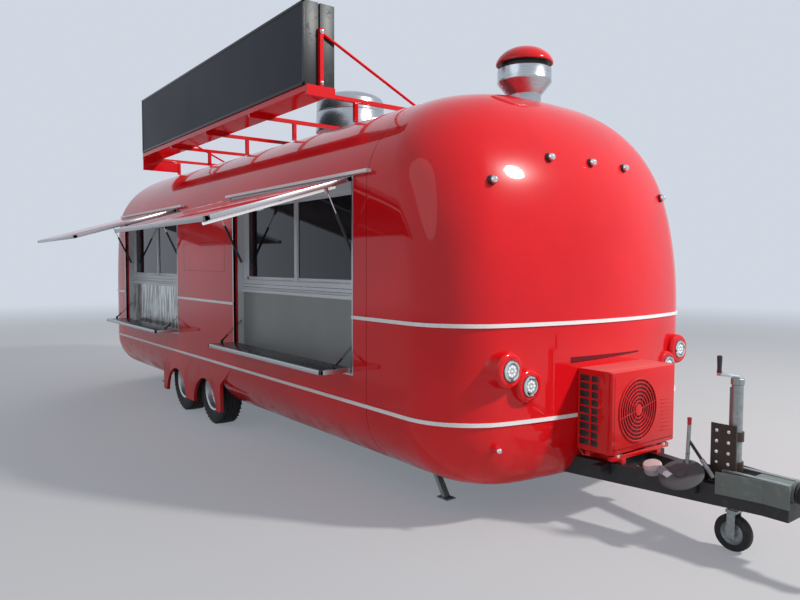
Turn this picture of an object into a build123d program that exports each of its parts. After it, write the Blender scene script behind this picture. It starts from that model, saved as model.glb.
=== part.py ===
from build123d import *
import math
import os

# Food trailer with a rounded body, two serving hatches and a roof sign.
# Units are millimetres. X points forward to the drawbar, Y to the left, Z up.
# The origin is the centre of the ball-coupling socket. Heights are written above
# the ground, and up() turns them into the model's Z.

BALL_HEIGHT = 400


def up(height):
    return height - BALL_HEIGHT


# Body shell. Its outline has a bowed nose and tail; it draws in by SIDE_IN and
# NOSE_IN towards the roof, and by SILL_SIDE and SILL_NOSE towards SILL_END, which
# lies a little below the bottom.
WIDTH = 2400
NOSE_X = -1440
REAR_X = -8540
BOW_R = 3600
CORNER_R = 450
CORNER_TOP_R = 300
BODY_BOTTOM = 245
SILL_START = 625
SILL_END = 230
SILL_SIDE = 380
SILL_NOSE = 190
NOSE_START = 1210
NOSE_IN = 750
SIDE_START = 2000
SIDE_IN = 850
BODY_TOP = 2675
WALL = 40
UNDER_LIP = 330
SEAM_FRONT_X = -2355
TAIL_L = 740
FLOOR_TOP = 470
FLOOR_T = 40

# Serving hatches: x of the front jamb of each opening
HATCH_FRONT_JAMBS = {"front": -2565, "rear": -5830}
OPENING_L = 1860
OPENING_BOTTOM = 835
OPENING_TOP = 2100
PANEL_T = 30
EDGE_GAP = 5
HINGE_R = 6
HINGE_GAP = 1
SHELF_DEPTH = 235
SHELF_TO_FLAP = 8
FLAP_OPEN = 73
REVEAL = 95
SURROUND_W = 40

# Window behind each hatch
FRAME_T = 40
FRAME_SIDE = 55
FRAME_OVER = 20
SILL_TOP = 1405
SILL_LOW = 1297
HEAD_LOW = 2030
MULLION_W = 45
GLASS_T = 6
GLASS_IN = 18
LEDGE_OUT = 22
LEDGE_H = 26
BOARD_T = 25

# Gas struts and shelf stays
STRUT_INSET = 40
STRUT_TUBE_R = 10
STRUT_ROD_R = 4
STRUT_EYE_R = 7
STRUT_EYE_W = 10
STRUT_FLAP_ALONG = 180
STRUT_FLAP_OFF = 65
STRUT_JAMB_Y = 55
STRUT_JAMB_DROP = 540
STRUT_TUBE_L = 335
STRUT_ROD_TAIL = 185
LUG_HALF = 14
LUG_T = 8
PIN_R = 4
PIN_GAP = 0.4
STAY_INSET = 16
STAY_T = 4
STAY_W = 14
STAY_SHELF_ALONG = 120
STAY_SHELF_OFF = 45
STAY_JAMB_Y = 55
STAY_JAMB_RISE = 205
EAR_HALF = 12
EAR_T = 6

# Entrance door in the left wall
DOOR_FROM_TAIL = 1640
DOOR_W = 740
DOOR_BOTTOM = 400
DOOR_TOP = 2090
DOOR_HINGE_OUT = 8
DOOR_HINGE_R = 8
DOOR_HINGE_L = 40
DOOR_LEAF = 60
DOOR_LEAF_T = 7
DOOR_HINGE_HEIGHTS = (700, 1300, 1900)
GRIP_IN = 70
GRIP_W = 20
GRIP_OUT = 34
GRIP_T = 12
GRIP_LOW = 1160
GRIP_HIGH = 1320

# Running gear
AXLE_XS = {"front": -5130, "rear": -5910}
TYRE_R = 320
TYRE_W = 190
TREAD_DROP = 9
BEAD_R = 178
BEAD_HALF = 68
TYRE_TO_SKIRT = 45
STUB_R = 32
STUB_PAST_MIDDLE = 34
HUB_R = 62
DRUM_R = 105
DRUM_L = 75
DRUM_TO_TYRE = 50
BOLTS = 5
BOLT_CIRCLE_R = 50
BOLT_R = 9
BOLT_L = 26
BEAM = 80
ARM_REACH = 160
ARM_W = 36
ARM_H = 66
WHEEL_BOX_TOP = 720
WHEEL_BOX_T = 12
TYRE_TO_BOX = 55
TYRE_GAP = 45
SKIRT_T = 30
SKIRT_BOTTOM = 185
SKIRT_SLOPE_H = 440
SKIRT_TOP_GROW = 260
SKIRT_LOW_GROW = 20
ARCH_TOP = 450
ARCH_R = 280

# Chassis and drawbar
SEAT = 0.3
RAIL_Y = 550
RAIL_W = 60
RAIL_H = 110
RAIL_FRONT_X = -1900
RAIL_FROM_TAIL = 550
CROSS_MEMBER_IN = 30
CROSS_MEMBER_XS = (-2700, -3500, -4300, -4700, -5500, -6500, -7100)
CROSS_MEMBER_W = 50
CROSS_MEMBER_H = 90
OUTRIGGER_XS = (-2700, -3500, -4300, -7100)
OUTRIGGER_Y = 900
OUTRIGGER_W = 40
OUTRIGGER_H = 50
BEAM_W = 60
BEAM_H = 110
BEAM_TOP = 370
BEAM_REAR_X = -2700
BEAM_REAR_Y = 480
BEAM_SLOT = 6
HEAD_REAR_X = -480
HEAD_FRONT_X = -350
HEAD_HALF_W = 75
CROSS_TUBE_H = 60
CROSS_TUBES = {"jack": (-810, 180), "cooler": (-1300, 330)}

# Overrun housing, bellows and coupling head
HOUSING_REAR_X = -690
HOUSING_TOP = 443
FLANGE_R = 58
FLANGE_T = 12
BELLOWS_FRONT_X = -190
BELLOWS_R = 46
FOLD_R = 56
FOLDS = 8
FOLD_GAP = 4
BALL_R = 25.5
CUP_R = 38
CUP_SINK = 24
NECK_W = 62
NECK_H = 56
NECK_END_X = -20
NECK_RISE = 8
HANDLE_L = 130
HANDLE_W = 30
HANDLE_T = 14
HANDLE_RISE = 44

# Jack with its plate, leg and jockey wheel
JACK_X = -655
JACK_R = 30
JACK_WALL = 4
JACK_TUBE_BOTTOM = 425
JACK_TUBE_TOP = 905
JACK_CAP_R = 34
JACK_CAP_H = 30
CRANK_REACH = 113
CRANK_W = 24
CRANK_T = 8
GRIP_R = 14
GRIP_L = 100
PLATE_Y = -50
PLATE_T = 8
PLATE_REAR_X = -768
PLATE_FRONT_X = -630
PLATE_TOP = 686
PLATE_NECK_TOP = 450
CLAMP_HEIGHTS = (465, 625)
CLAMP_R = 39
CLAMP_H = 50
JOCKEY_R = 100
JOCKEY_W = 50
JOCKEY_EDGE = 12
AXLE_PIN_R = 8
LEG_R = 25.6
LEG_IN_TUBE = 245
FORK_HALF = 36
FORK_T = 6
FORK_W = 44
BRIDGE_T = 14
BRIDGE_CLEAR = 12
POCKET_HALF = 52
POCKET_L = 520
POCKET_CLEAR = 20

# Handbrake on a round cover, and the plug holder beside it
COVER_X = -892
COVER_Y = -160
COVER_R = 120
COVER_T = 14
BRAKE_X = -870
BRAKE_Y = -95
QUADRANT_HALF = 55
QUADRANT_H = 78
QUADRANT_T = 8
LEVER_W = 14
LEVER_D = 26
LEVER_TOP = 640
KNOB_R = 17
KNOB_L = 74
HOLDER_X = -1035
HOLDER_Y = -160
HOLDER_R = 52
HOLDER_H = 58
PLUG_R = 24
PLUG_L = 78
PLUG_LIFT = 30

# Steadies: x of the pivot, direction of the foot
STEADY_TABLE = {"front": (-2450, 1), "rear": (REAR_X + 1030, -1)}
STEADY_Y = 700
STEADY_PIVOT = 372
STEADY_REACH = 250
STEADY_W = 44
STEADY_H = 30
STEADY_EYE_R = 18
STEADY_PIN_R = 8
STEADY_FOOT_CLEAR = 3
FOOT_T = 8
FOOT_HALF_L = 50
FOOT_HALF_W = 40
ARM_TO_BRACKET = 2
BRACKET_T = 8
BRACKET_HALF = 20

# Air conditioner and its red rails
AC_W = 645
AC_H = 487
AC_BOTTOM = 437
AC_FRONT_X = -1205
AC_TO_TRIM = 2
AC_EDGE_R = 14
FAN_Y = -70
FAN_R = 190
FAN_OUT = 8
AC_FOOT_H = 10
AC_FOOT_Y = 235
AC_FOOT_HALF = 17
AC_BAR_HALF_L = 290
AC_BAR_HALF_W = 17
AC_BAR_H = 27
AC_BARS = (30, 190)
AC_RAIL_Y = 180
AC_RAIL_HALF_W = 20
AC_RAIL_FRONT = 12

# Lamps on the nose and tail: y, height, how far the pod stands out, its radius
LAMPS = ((853, 947, 58, 82), (703, 848, 32, 80))
LENS_R = 60
LENS_OUT = 12
POD_EDGE = 18
POD_IN = 90
MARKERS = ((0, 2186), (375, 2186), (-375, 2186), (845, 2016), (-845, 2016))
MARKER_R = 19
MARKER_OUT = 45
MARKER_TIP = 14
BOSS_Y = -900
BOSS_HEIGHT = 499
BOSS_R = 24
BOSS_OUT = 30
PLATE_HALF = 260
NUMBER_PLATE = (700, 820)
NUMBER_PLATE_OUT = 14

# Sign box and its frame of tubes
SIGN_FRONT_X = -3270
SIGN_REAR_X = -7100
SIGN_OUT_Y = -1150
SIGN_DEPTH = 260
SIGN_BOTTOM = 2835
SIGN_TOP = 3440
TRAY_IN = 12
TRAY_H = 45
TUBE = 30
FRAMES = 5
OUTER_POST_Y = -713
INNER_POST_Y = 0
OUTER_POST_FOOT = 2617
TUBE_PAST_POST = 40
END_POST_Y = -1015
END_POST_TOP = 3256
BRACE_R = 11
BRACE_FOOT_Y = -30
TAIL_PLATE_T = 8
TAIL_PLATE_BOTTOM = 2640

# Roof vents: radius and height of each corner of their outlines
VENT_FRONT_X = -2200
VENT_FRONT = (
    (0, 2600), (113, 2600), (113, 2755), (186, 2800), (186, 2895), (150, 2900), (150, 2925), (198, 2930),
    (198, 2952), (188, 2990), (160, 3022), (118, 3043), (62, 3056), (0, 3060),
)
VENT_REAR_X = -4420
VENT_REAR = ((0, 2600), (150, 2600), (150, 2860), (330, 2875), (330, 3105), (120, 3160), (0, 3160))

# Trim strips: height above the ground
TRIM_HEIGHTS = {"upper": 1195, "lower": 640}
TRIM_H = 22
TRIM_OUT = 8
TRIM_GAP = 4
DRIP_OVER_FRONT = 200
DRIP_OVER_REAR = 100
DRIP_OUT = 26
DRIP_IN = 30
DRIP_H = 20

# Kitchen
KITCHEN_BOARD = 25
COUNTER_IN_Y = -640
COUNTER_TOP = 1280
COUNTER_FRONT_X = -2450
COUNTER_TO_SEAM = 150
COUNTER_TO_BAY = 60
UNIT_XS = (-2700, -4750)
UNIT_Y = 620
UNIT_TOP = 1380
PLINTH_H = 140
PLINTH_IN = 20
HOOD_XS = (-2800, -4700)
HOOD_Y = 560
HOOD_TO_WALL = 100
HOOD_HEIGHTS = (1950, 2250)
DUCT_XS = (-3500, -3900)
DUCT_YS = (800, 1000)

os.makedirs("parts", exist_ok=True)
HALF = WIDTH / 2
MID_X = (NOSE_X + REAR_X) / 2
SERVICE_Y = -HALF
STRAIGHT_HEIGHT = (SILL_START + NOSE_START) / 2
SEAM_REAR_X = REAR_X + TAIL_L
DOOR_FRONT_X = REAR_X + DOOR_FROM_TAIL
RAIL_REAR_X = REAR_X + RAIL_FROM_TAIL
TRACK_HALF = HALF - SKIRT_T - TYRE_TO_SKIRT - TYRE_W / 2
TYRE_IN = TRACK_HALF - TYRE_W / 2


def save(node, shape):
    shape.label = node
    export_step(shape, "parts/" + node + ".step")


def group(*shapes):
    solids = []
    for shape in shapes:
        solids += list(shape.solids())
    return Compound(children=solids)


def box(x0, x1, y0, y1, h0, h1):
    """A box from its limits; h0 and h1 are heights above the ground."""
    size = Box(abs(x1 - x0), abs(y1 - y0), abs(h1 - h0))
    return Pos((x0 + x1) / 2, (y0 + y1) / 2, up((h0 + h1) / 2)) * size


def rod(start, end, radius):
    """A round bar between two points, given with model Z."""
    a = Vector(*start)
    b = Vector(*end)
    plane = Plane(origin=a, z_dir=b - a)
    return extrude(plane * Circle(radius), amount=(b - a).length)


def bar(start, end, wide, high, side=(0, 1, 0)):
    """A square bar between two points; side is the direction of its width."""
    a = Vector(*start)
    b = Vector(*end)
    plane = Plane(origin=a, x_dir=Vector(*side), z_dir=b - a)
    return extrude(plane * Rectangle(wide, high), amount=(b - a).length)


def turned(profile, axle_x, middle_y):
    """A ring turned about a wheel's axle from a profile drawn as (y, radius)."""
    face = make_face(Polyline(*[(0, y, r) for y, r in profile], close=True))
    ring = revolve(face, Axis((0, 0, 0), (0, 1, 0)), 360)
    return Pos(axle_x, middle_y, up(TYRE_R)) * ring


def lathe(profile, x):
    """A round body about an upright axis from a profile drawn as (radius, height)."""
    face = make_face(Polyline(*[(r, 0, up(h)) for r, h in profile], close=True))
    return Pos(x, 0, 0) * revolve(face, Axis.Z, 360)


def quarter(height, start, end, depth):
    """How far a quarter ellipse has drawn in at a height between its start and end."""
    share = min(1, max(0, (height - start) / (end - start)))
    return depth * (1 - math.sqrt(1 - share**2))


def outline(height, wall=0):
    """Half width, corner radius, nose x and bow radius of the outline at a height."""
    top = BODY_TOP - wall
    sill_end = SILL_END + wall
    side = quarter(height, SIDE_START, top, SIDE_IN - wall)
    nose = quarter(height, NOSE_START, top, NOSE_IN - wall)
    low_side = quarter(-height, -SILL_START, -sill_end, SILL_SIDE - wall)
    low_nose = quarter(-height, -SILL_START, -sill_end, SILL_NOSE - wall)
    corner = CORNER_R - wall + (CORNER_TOP_R - CORNER_R) * side / (SIDE_IN - wall) - low_side / 2
    return HALF - wall - side - low_side, corner, NOSE_X - wall - nose - low_nose, BOW_R - wall


def plan(height, wall=0):
    """The body's outline at a height, drawn in by wall, as a face at that height."""
    half, corner, nose_x, bow = outline(height, wall)
    corner_y = half - corner
    bow_x = nose_x - bow
    corner_x = bow_x + math.sqrt((bow - corner) ** 2 - corner_y**2)
    turn = math.asin(corner_y / (bow - corner))
    middle = (turn + math.pi / 2) / 2
    places = {
        "side": (corner_x, half),
        "mid": (corner_x + corner * math.cos(middle), corner_y + corner * math.sin(middle)),
        "join": (bow_x + bow * math.cos(turn), bow * math.sin(turn)),
        "nose": (nose_x, 0),
    }

    def at(end, side, place):
        x, y = places[place]
        if end < 0:
            x = 2 * MID_X - x
        return (x, side * y)

    edges = [
        Line(at(1, -1, "side"), at(-1, -1, "side")),
        ThreePointArc(at(-1, -1, "side"), at(-1, -1, "mid"), at(-1, -1, "join")),
        ThreePointArc(at(-1, -1, "join"), at(-1, 1, "nose"), at(-1, 1, "join")),
        ThreePointArc(at(-1, 1, "join"), at(-1, 1, "mid"), at(-1, 1, "side")),
        Line(at(-1, 1, "side"), at(1, 1, "side")),
        ThreePointArc(at(1, 1, "side"), at(1, 1, "mid"), at(1, 1, "join")),
        ThreePointArc(at(1, 1, "join"), at(1, 1, "nose"), at(1, -1, "join")),
        ThreePointArc(at(1, -1, "join"), at(1, -1, "mid"), at(1, -1, "side")),
    ]
    return Pos(0, 0, up(height)) * make_face(Wire(edges))


def slab(inset, h0, h1):
    """The full outline, drawn in by inset, as a slab between two heights."""
    return Pos(0, 0, up(h0) - up(STRAIGHT_HEIGHT)) * extrude(plan(STRAIGHT_HEIGHT, inset), amount=h1 - h0)


def bubble(wall):
    """The body as a solid, drawn in by wall on every side."""
    top = BODY_TOP - wall
    bottom = BODY_BOTTOM + wall
    lean = SIDE_START - NOSE_START
    nose_heights = [NOSE_START + lean * share for share in (0, 0.35, 0.7, 1)]
    roof_heights = [SIDE_START + (top - SIDE_START) * math.sin(math.radians(a)) for a in (0, 18, 36, 54, 68, 79, 90)]
    sill_h = SILL_START - SILL_END - wall
    sill_heights = [bottom] + [SILL_START - sill_h * math.sin(math.radians(a)) for a in (57, 38, 19, 0)]
    solid = slab(wall, SILL_START, NOSE_START)
    for heights in (nose_heights, roof_heights, sill_heights):
        solid += loft([plan(height, wall) for height in heights])
    return solid


def nose_x(y, height):
    """Where the outside of the nose is at this y and height, on its bowed part."""
    half, corner, front, bow = outline(height)
    return front - bow + math.sqrt(bow**2 - y**2)


outer = bubble(0)
inner = bubble(WALL)

# Hatch openings, as boxes that also clear the hinges at their top and bottom
OPENING_CUT_TOP = OPENING_TOP + HINGE_R + HINGE_GAP
OPENING_CUT_BOTTOM = OPENING_BOTTOM - HINGE_R - HINGE_GAP


def opening_box(jamb, out_y, in_y, grow=0):
    return box(jamb + grow, jamb - OPENING_L - grow, out_y, in_y,
               OPENING_CUT_BOTTOM - grow, OPENING_CUT_TOP + grow)


DOOR_REAR_X = DOOR_FRONT_X - DOOR_W
WHEEL_BAY_FRONT = AXLE_XS["front"] + TYRE_R + TYRE_GAP
WHEEL_BAY_REAR = AXLE_XS["rear"] - TYRE_R - TYRE_GAP
THROUGH = 100


def drawbar_beam(side, grow=0):
    """One of the two beams that converge on the head, made larger by grow."""
    z = up(BEAM_TOP - BEAM_H / 2)
    return bar((HEAD_REAR_X, side * (HEAD_HALF_W - BEAM_W / 2), z), (BEAM_REAR_X, side * BEAM_REAR_Y, z),
               BEAM_W + 2 * grow, BEAM_H + 2 * grow)


# Shell, with its underside open inside the turned-in lip
shell = outer - inner - slab(UNDER_LIP, BODY_BOTTOM - 10, SILL_START)
for jamb in HATCH_FRONT_JAMBS.values():
    shell -= opening_box(jamb, SERVICE_Y - THROUGH, SERVICE_Y + THROUGH)
shell -= box(DOOR_FRONT_X, DOOR_REAR_X, HALF - 2 * THROUGH, HALF + THROUGH, DOOR_BOTTOM, DOOR_TOP)
for side in (1, -1):
    shell -= box(WHEEL_BAY_FRONT, WHEEL_BAY_REAR, side * (HALF - SKIRT_T), 0, 0, WHEEL_BOX_TOP)
    shell -= box(WHEEL_BAY_FRONT, WHEEL_BAY_REAR, side * (HALF + THROUGH), 0, 0, SILL_START)
    shell -= drawbar_beam(side, BEAM_SLOT)

FAR = 12000
front_half = box(SEAM_FRONT_X, SEAM_FRONT_X + FAR, -FAR, FAR, -FAR, FAR)
rear_half = box(SEAM_REAR_X, SEAM_REAR_X - FAR, -FAR, FAR, -FAR, FAR)
save("shell_front", group(shell & front_half))
save("shell_rear", group(shell & rear_half))
save("shell_middle", group(shell - front_half - rear_half))

# Floor and wheel boxes
WHEEL_BOX_IN = TYRE_IN - TYRE_TO_BOX
floor = inner & box(NOSE_X, REAR_X, -HALF, HALF, FLOOR_TOP - FLOOR_T, FLOOR_TOP)
wheel_boxes = []
for side in (1, -1):
    bay = box(WHEEL_BAY_FRONT + WHEEL_BOX_T, WHEEL_BAY_REAR - WHEEL_BOX_T, side * (WHEEL_BOX_IN - WHEEL_BOX_T),
              side * HALF, FLOOR_TOP - FLOOR_T - 1, WHEEL_BOX_TOP + WHEEL_BOX_T)
    hollow = box(WHEEL_BAY_FRONT, WHEEL_BAY_REAR, side * WHEEL_BOX_IN, side * (HALF + THROUGH), 0, WHEEL_BOX_TOP)
    floor -= bay
    wheel_boxes.append((bay & inner) - hollow)
save("floor", group(floor))
save("wheel_boxes", group(*wheel_boxes))

# Wheel skirts: a flat panel flush with the wall, with an arch over each wheel
skirts = []
front_low = WHEEL_BAY_FRONT + SKIRT_LOW_GROW
rear_low = WHEEL_BAY_REAR - SKIRT_LOW_GROW
skirt_outline = Polyline(
    (front_low + SKIRT_TOP_GROW, up(SILL_START)), (front_low, up(SKIRT_SLOPE_H)), (front_low, up(SKIRT_BOTTOM)),
    (rear_low, up(SKIRT_BOTTOM)), (rear_low, up(SKIRT_SLOPE_H)), (rear_low - SKIRT_TOP_GROW, up(SILL_START)),
    close=True)
for side in (1, -1):
    panel = extrude(Plane.XZ * make_face(skirt_outline), amount=SKIRT_T)
    panel = Pos(0, side * (HALF - SKIRT_T / 2) + SKIRT_T / 2, 0) * panel
    for axle_x in AXLE_XS.values():
        arch = Pos(axle_x, side * HALF, up(ARCH_TOP - ARCH_R)) * Rot(90, 0, 0) * Cylinder(ARCH_R, 4 * SKIRT_T)
        panel -= arch
        panel -= box(axle_x - ARCH_R, axle_x + ARCH_R, side * (HALF - 2 * SKIRT_T), side * (HALF + THROUGH), 0,
                     ARCH_TOP - ARCH_R)
    skirts.append(panel - outer)
save("wheel_skirts", group(*skirts))

# Trim strips round the body, broken at the openings and at the door, and a drip rail over each hatch
trims = []
for height in TRIM_HEIGHTS.values():
    low = height - TRIM_H / 2
    strip = slab(-TRIM_OUT, low, low + TRIM_H) - slab(0, low - 1, low + TRIM_H + 1)
    for jamb in HATCH_FRONT_JAMBS.values():
        strip -= opening_box(jamb, SERVICE_Y - THROUGH, SERVICE_Y + THROUGH, TRIM_GAP)
    strip -= box(DOOR_FRONT_X + 25, DOOR_REAR_X - EDGE_GAP, HALF - THROUGH, HALF + THROUGH, 0, BODY_TOP)
    trims.append(strip)
for jamb in HATCH_FRONT_JAMBS.values():
    drip = box(jamb + DRIP_OVER_FRONT, jamb - OPENING_L - DRIP_OVER_REAR, SERVICE_Y + DRIP_IN, SERVICE_Y - DRIP_OUT,
               OPENING_CUT_TOP, OPENING_CUT_TOP + DRIP_H)
    trims.append(drip - outer)
save("trim_strips", group(*trims))

# Hatch surrounds, window frames, glass and the board under each window
SURROUND_OUT = SERVICE_Y + WALL
FRAME_OUT = SERVICE_Y + REVEAL
FRAME_IN = FRAME_OUT + FRAME_T
surrounds = []
frames = []
panes = []
boards = []
for jamb in HATCH_FRONT_JAMBS.values():
    far = jamb - OPENING_L
    middle_x = (jamb + far) / 2
    ring = box(jamb + SURROUND_W, far - SURROUND_W, SURROUND_OUT, FRAME_OUT, OPENING_CUT_BOTTOM - SURROUND_W,
               OPENING_CUT_TOP + SURROUND_W) & inner
    ring -= opening_box(jamb, SERVICE_Y, 0)
    for jamb_x, inward in ((jamb, -1), (far, 1)):
        strut_y = SERVICE_Y + STRUT_JAMB_Y
        strut_z = up(OPENING_TOP - STRUT_JAMB_DROP)
        strut_pin = STRUT_INSET + STRUT_EYE_W / 2 + PIN_R
        stay_y = SERVICE_Y + STAY_JAMB_Y
        stay_z = up(OPENING_BOTTOM + STAY_JAMB_RISE)
        stay_pin = STAY_INSET - STAY_T / 2 - PIN_GAP
        ring += rod((jamb_x, strut_y, strut_z), (jamb_x + inward * strut_pin, strut_y, strut_z), PIN_R)
        ring += rod((jamb_x, stay_y, stay_z), (jamb_x + inward * stay_pin, stay_y, stay_z), PIN_R)
    surrounds.append(ring)
    frame = box(jamb + SURROUND_W, far - SURROUND_W, FRAME_OUT, FRAME_IN, SILL_LOW, OPENING_CUT_TOP + FRAME_OVER)
    for x0, x1 in ((jamb - FRAME_SIDE, middle_x + MULLION_W / 2), (middle_x - MULLION_W / 2, far + FRAME_SIDE)):
        frame -= box(x0, x1, FRAME_OUT - 1, FRAME_IN + 1, SILL_TOP, HEAD_LOW)
        panes.append(box(x0, x1, FRAME_IN - GLASS_IN - GLASS_T, FRAME_IN - GLASS_IN, SILL_TOP, HEAD_LOW))
    ledge = box(jamb - 1, far + 1, FRAME_OUT - LEDGE_OUT, FRAME_OUT, SILL_LOW, SILL_LOW + LEDGE_H)
    frames.append(frame + ledge)
    boards.append(box(jamb + SURROUND_W, far - SURROUND_W, FRAME_OUT, FRAME_OUT + BOARD_T,
                      OPENING_CUT_BOTTOM - SURROUND_W, SILL_LOW))
save("hatch_surrounds", group(*surrounds))
save("window_frames", group(*frames))
save("window_glass", group(*panes))
save("window_boards", group(*boards))


def flap_turn(shape, degrees, height):
    """Turn a panel about the hinge line on the service wall at this height."""
    axis = Axis((0, SERVICE_Y, up(height)), (-1, 0, 0))
    return shape.rotate(axis, degrees)


def flap_point(along, off, degrees):
    """Where a point of the flap is when open; along runs down the closed flap."""
    turn = math.radians(degrees)
    y = -along * math.sin(turn) + off * math.cos(turn)
    z = -along * math.cos(turn) - off * math.sin(turn)
    return (SERVICE_Y + y, up(OPENING_TOP) + z)


FLAP_BOTTOM = OPENING_BOTTOM + SHELF_DEPTH + SHELF_TO_FLAP
for place, jamb in HATCH_FRONT_JAMBS.items():
    far = jamb - OPENING_L
    x0 = jamb - EDGE_GAP
    x1 = far + EDGE_GAP
    # The flap is built closed, then turned open
    flap = box(x0, x1, SERVICE_Y, SERVICE_Y + PANEL_T, FLAP_BOTTOM, OPENING_TOP)
    flap += rod((x0, SERVICE_Y, up(OPENING_TOP)), (x1, SERVICE_Y, up(OPENING_TOP)), HINGE_R)
    lug_middle = OPENING_TOP - STRUT_FLAP_ALONG
    for jamb_x, inward in ((jamb, -1), (far, 1)):
        near = jamb_x + inward * (STRUT_INSET + STRUT_EYE_W / 2 + PIN_GAP)
        flap += box(near, near + inward * LUG_T, SERVICE_Y + PANEL_T - 1, SERVICE_Y + STRUT_FLAP_OFF + STRUT_TUBE_R,
                    lug_middle - LUG_HALF, lug_middle + LUG_HALF)
    save("hatch_" + place, group(flap_turn(flap, FLAP_OPEN, OPENING_TOP)))
    # The struts, from the jamb's pin to the flap's lug
    flap_y, flap_z = flap_point(STRUT_FLAP_ALONG, STRUT_FLAP_OFF, FLAP_OPEN)
    jamb_y = SERVICE_Y + STRUT_JAMB_Y
    jamb_z = up(OPENING_TOP - STRUT_JAMB_DROP)
    reach = math.hypot(flap_y - jamb_y, flap_z - jamb_z)
    run_y = (flap_y - jamb_y) / reach
    run_z = (flap_z - jamb_z) / reach
    tubes = []
    rods = []
    for jamb_x, inward in ((jamb, -1), (far, 1)):
        x = jamb_x + inward * STRUT_INSET

        def on_strut(distance, x=x):
            return (x, jamb_y + run_y * distance, jamb_z + run_z * distance)

        tube = rod(on_strut(STRUT_TUBE_R), on_strut(STRUT_TUBE_L), STRUT_TUBE_R)
        tube -= rod(on_strut(3 * STRUT_TUBE_R), on_strut(STRUT_TUBE_L + 1), STRUT_ROD_R + 1)
        half_eye = STRUT_EYE_W / 2
        eye = rod((x - half_eye, jamb_y, jamb_z), (x + half_eye, jamb_y, jamb_z), STRUT_TUBE_R + 3)
        eye -= rod((x - STRUT_EYE_W, jamb_y, jamb_z), (x + STRUT_EYE_W, jamb_y, jamb_z), PIN_R + PIN_GAP)
        tubes.append(tube + eye)
        stem = rod(on_strut(reach - STRUT_ROD_TAIL), on_strut(reach), STRUT_ROD_R)
        stem += rod((x - half_eye, flap_y, flap_z), (x + half_eye, flap_y, flap_z), STRUT_EYE_R)
        rods.append(stem)
    save("strut_tubes_" + place, group(*tubes))
    save("strut_rods_" + place, group(*rods))
    # The lower flap, which is the shelf when it is open
    shelf = box(x0, x1, SERVICE_Y, SERVICE_Y - SHELF_DEPTH, OPENING_BOTTOM, OPENING_BOTTOM + PANEL_T)
    shelf += rod((x0, SERVICE_Y, up(OPENING_BOTTOM)), (x1, SERVICE_Y, up(OPENING_BOTTOM)), HINGE_R)
    ear_y = SERVICE_Y - STAY_SHELF_ALONG
    ear_z = up(OPENING_BOTTOM + STAY_SHELF_OFF)
    stays = []
    for jamb_x, inward in ((jamb, -1), (far, 1)):
        x = jamb_x + inward * STAY_INSET
        ear_x = x + inward * (STAY_T / 2 + 2)
        shelf += box(ear_x, ear_x + inward * EAR_T, ear_y - EAR_HALF, ear_y + EAR_HALF, OPENING_BOTTOM + PANEL_T - 1,
                     OPENING_BOTTOM + STAY_SHELF_OFF + EAR_HALF)
        shelf += rod((x - inward * STAY_T, ear_y, ear_z), (ear_x + inward * EAR_T / 2, ear_y, ear_z), PIN_R)
        stay_y = SERVICE_Y + STAY_JAMB_Y
        stay_z = up(OPENING_BOTTOM + STAY_JAMB_RISE)
        span = math.hypot(stay_y - ear_y, stay_z - ear_z)
        dir_y = (stay_y - ear_y) / span
        dir_z = (stay_z - ear_z) / span

        def on_stay(distance, x=x):
            return (x, ear_y + dir_y * distance, ear_z + dir_z * distance)

        stay = bar(on_stay(-8), on_stay(span + 12), STAY_T, STAY_W, (1, 0, 0))
        stay -= rod((x - STAY_W, ear_y, ear_z), (x + STAY_W, ear_y, ear_z), PIN_R + PIN_GAP)
        stay -= bar(on_stay(75), on_stay(span + 6), STAY_T * 3, 2 * (PIN_R + PIN_GAP), (1, 0, 0))
        stays.append(stay)
    save("shelf_" + place, group(shelf))
    save("shelf_stays_" + place, group(*stays))

# Entrance door, cut from the wall
door_zone = box(DOOR_FRONT_X - EDGE_GAP, DOOR_REAR_X + EDGE_GAP, HALF - 2 * THROUGH, HALF + THROUGH,
                DOOR_BOTTOM + EDGE_GAP, DOOR_TOP - EDGE_GAP)
door = (outer - inner) & door_zone
hinge_y = HALF + DOOR_HINGE_OUT
wall_hinges = []
for height in DOOR_HINGE_HEIGHTS:
    door += box(DOOR_FRONT_X + 2, DOOR_FRONT_X - DOOR_LEAF, HALF, HALF + DOOR_LEAF_T, height - DOOR_HINGE_L, height)
    door += Pos(DOOR_FRONT_X, hinge_y, up(height - DOOR_HINGE_L / 2)) * Cylinder(DOOR_HINGE_R, DOOR_HINGE_L)
    base = height + PIN_GAP
    knuckle = Pos(DOOR_FRONT_X, hinge_y, up(base + DOOR_HINGE_L / 2)) * Cylinder(DOOR_HINGE_R, DOOR_HINGE_L)
    leaf = box(DOOR_FRONT_X, DOOR_FRONT_X + DOOR_LEAF, HALF, HALF + DOOR_LEAF_T, base, base + DOOR_HINGE_L)
    wall_hinges.append(knuckle + leaf)
grip_x = DOOR_REAR_X + GRIP_IN
for height in (GRIP_LOW, GRIP_HIGH - GRIP_T):
    door += box(grip_x - GRIP_W / 2, grip_x + GRIP_W / 2, HALF - 2, HALF + GRIP_OUT, height, height + GRIP_T)
door += box(grip_x - GRIP_W / 2, grip_x + GRIP_W / 2, HALF + GRIP_OUT - GRIP_T, HALF + GRIP_OUT, GRIP_LOW, GRIP_HIGH)
save("entrance_door", group(door))
save("door_hinges", group(*wall_hinges))

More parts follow.
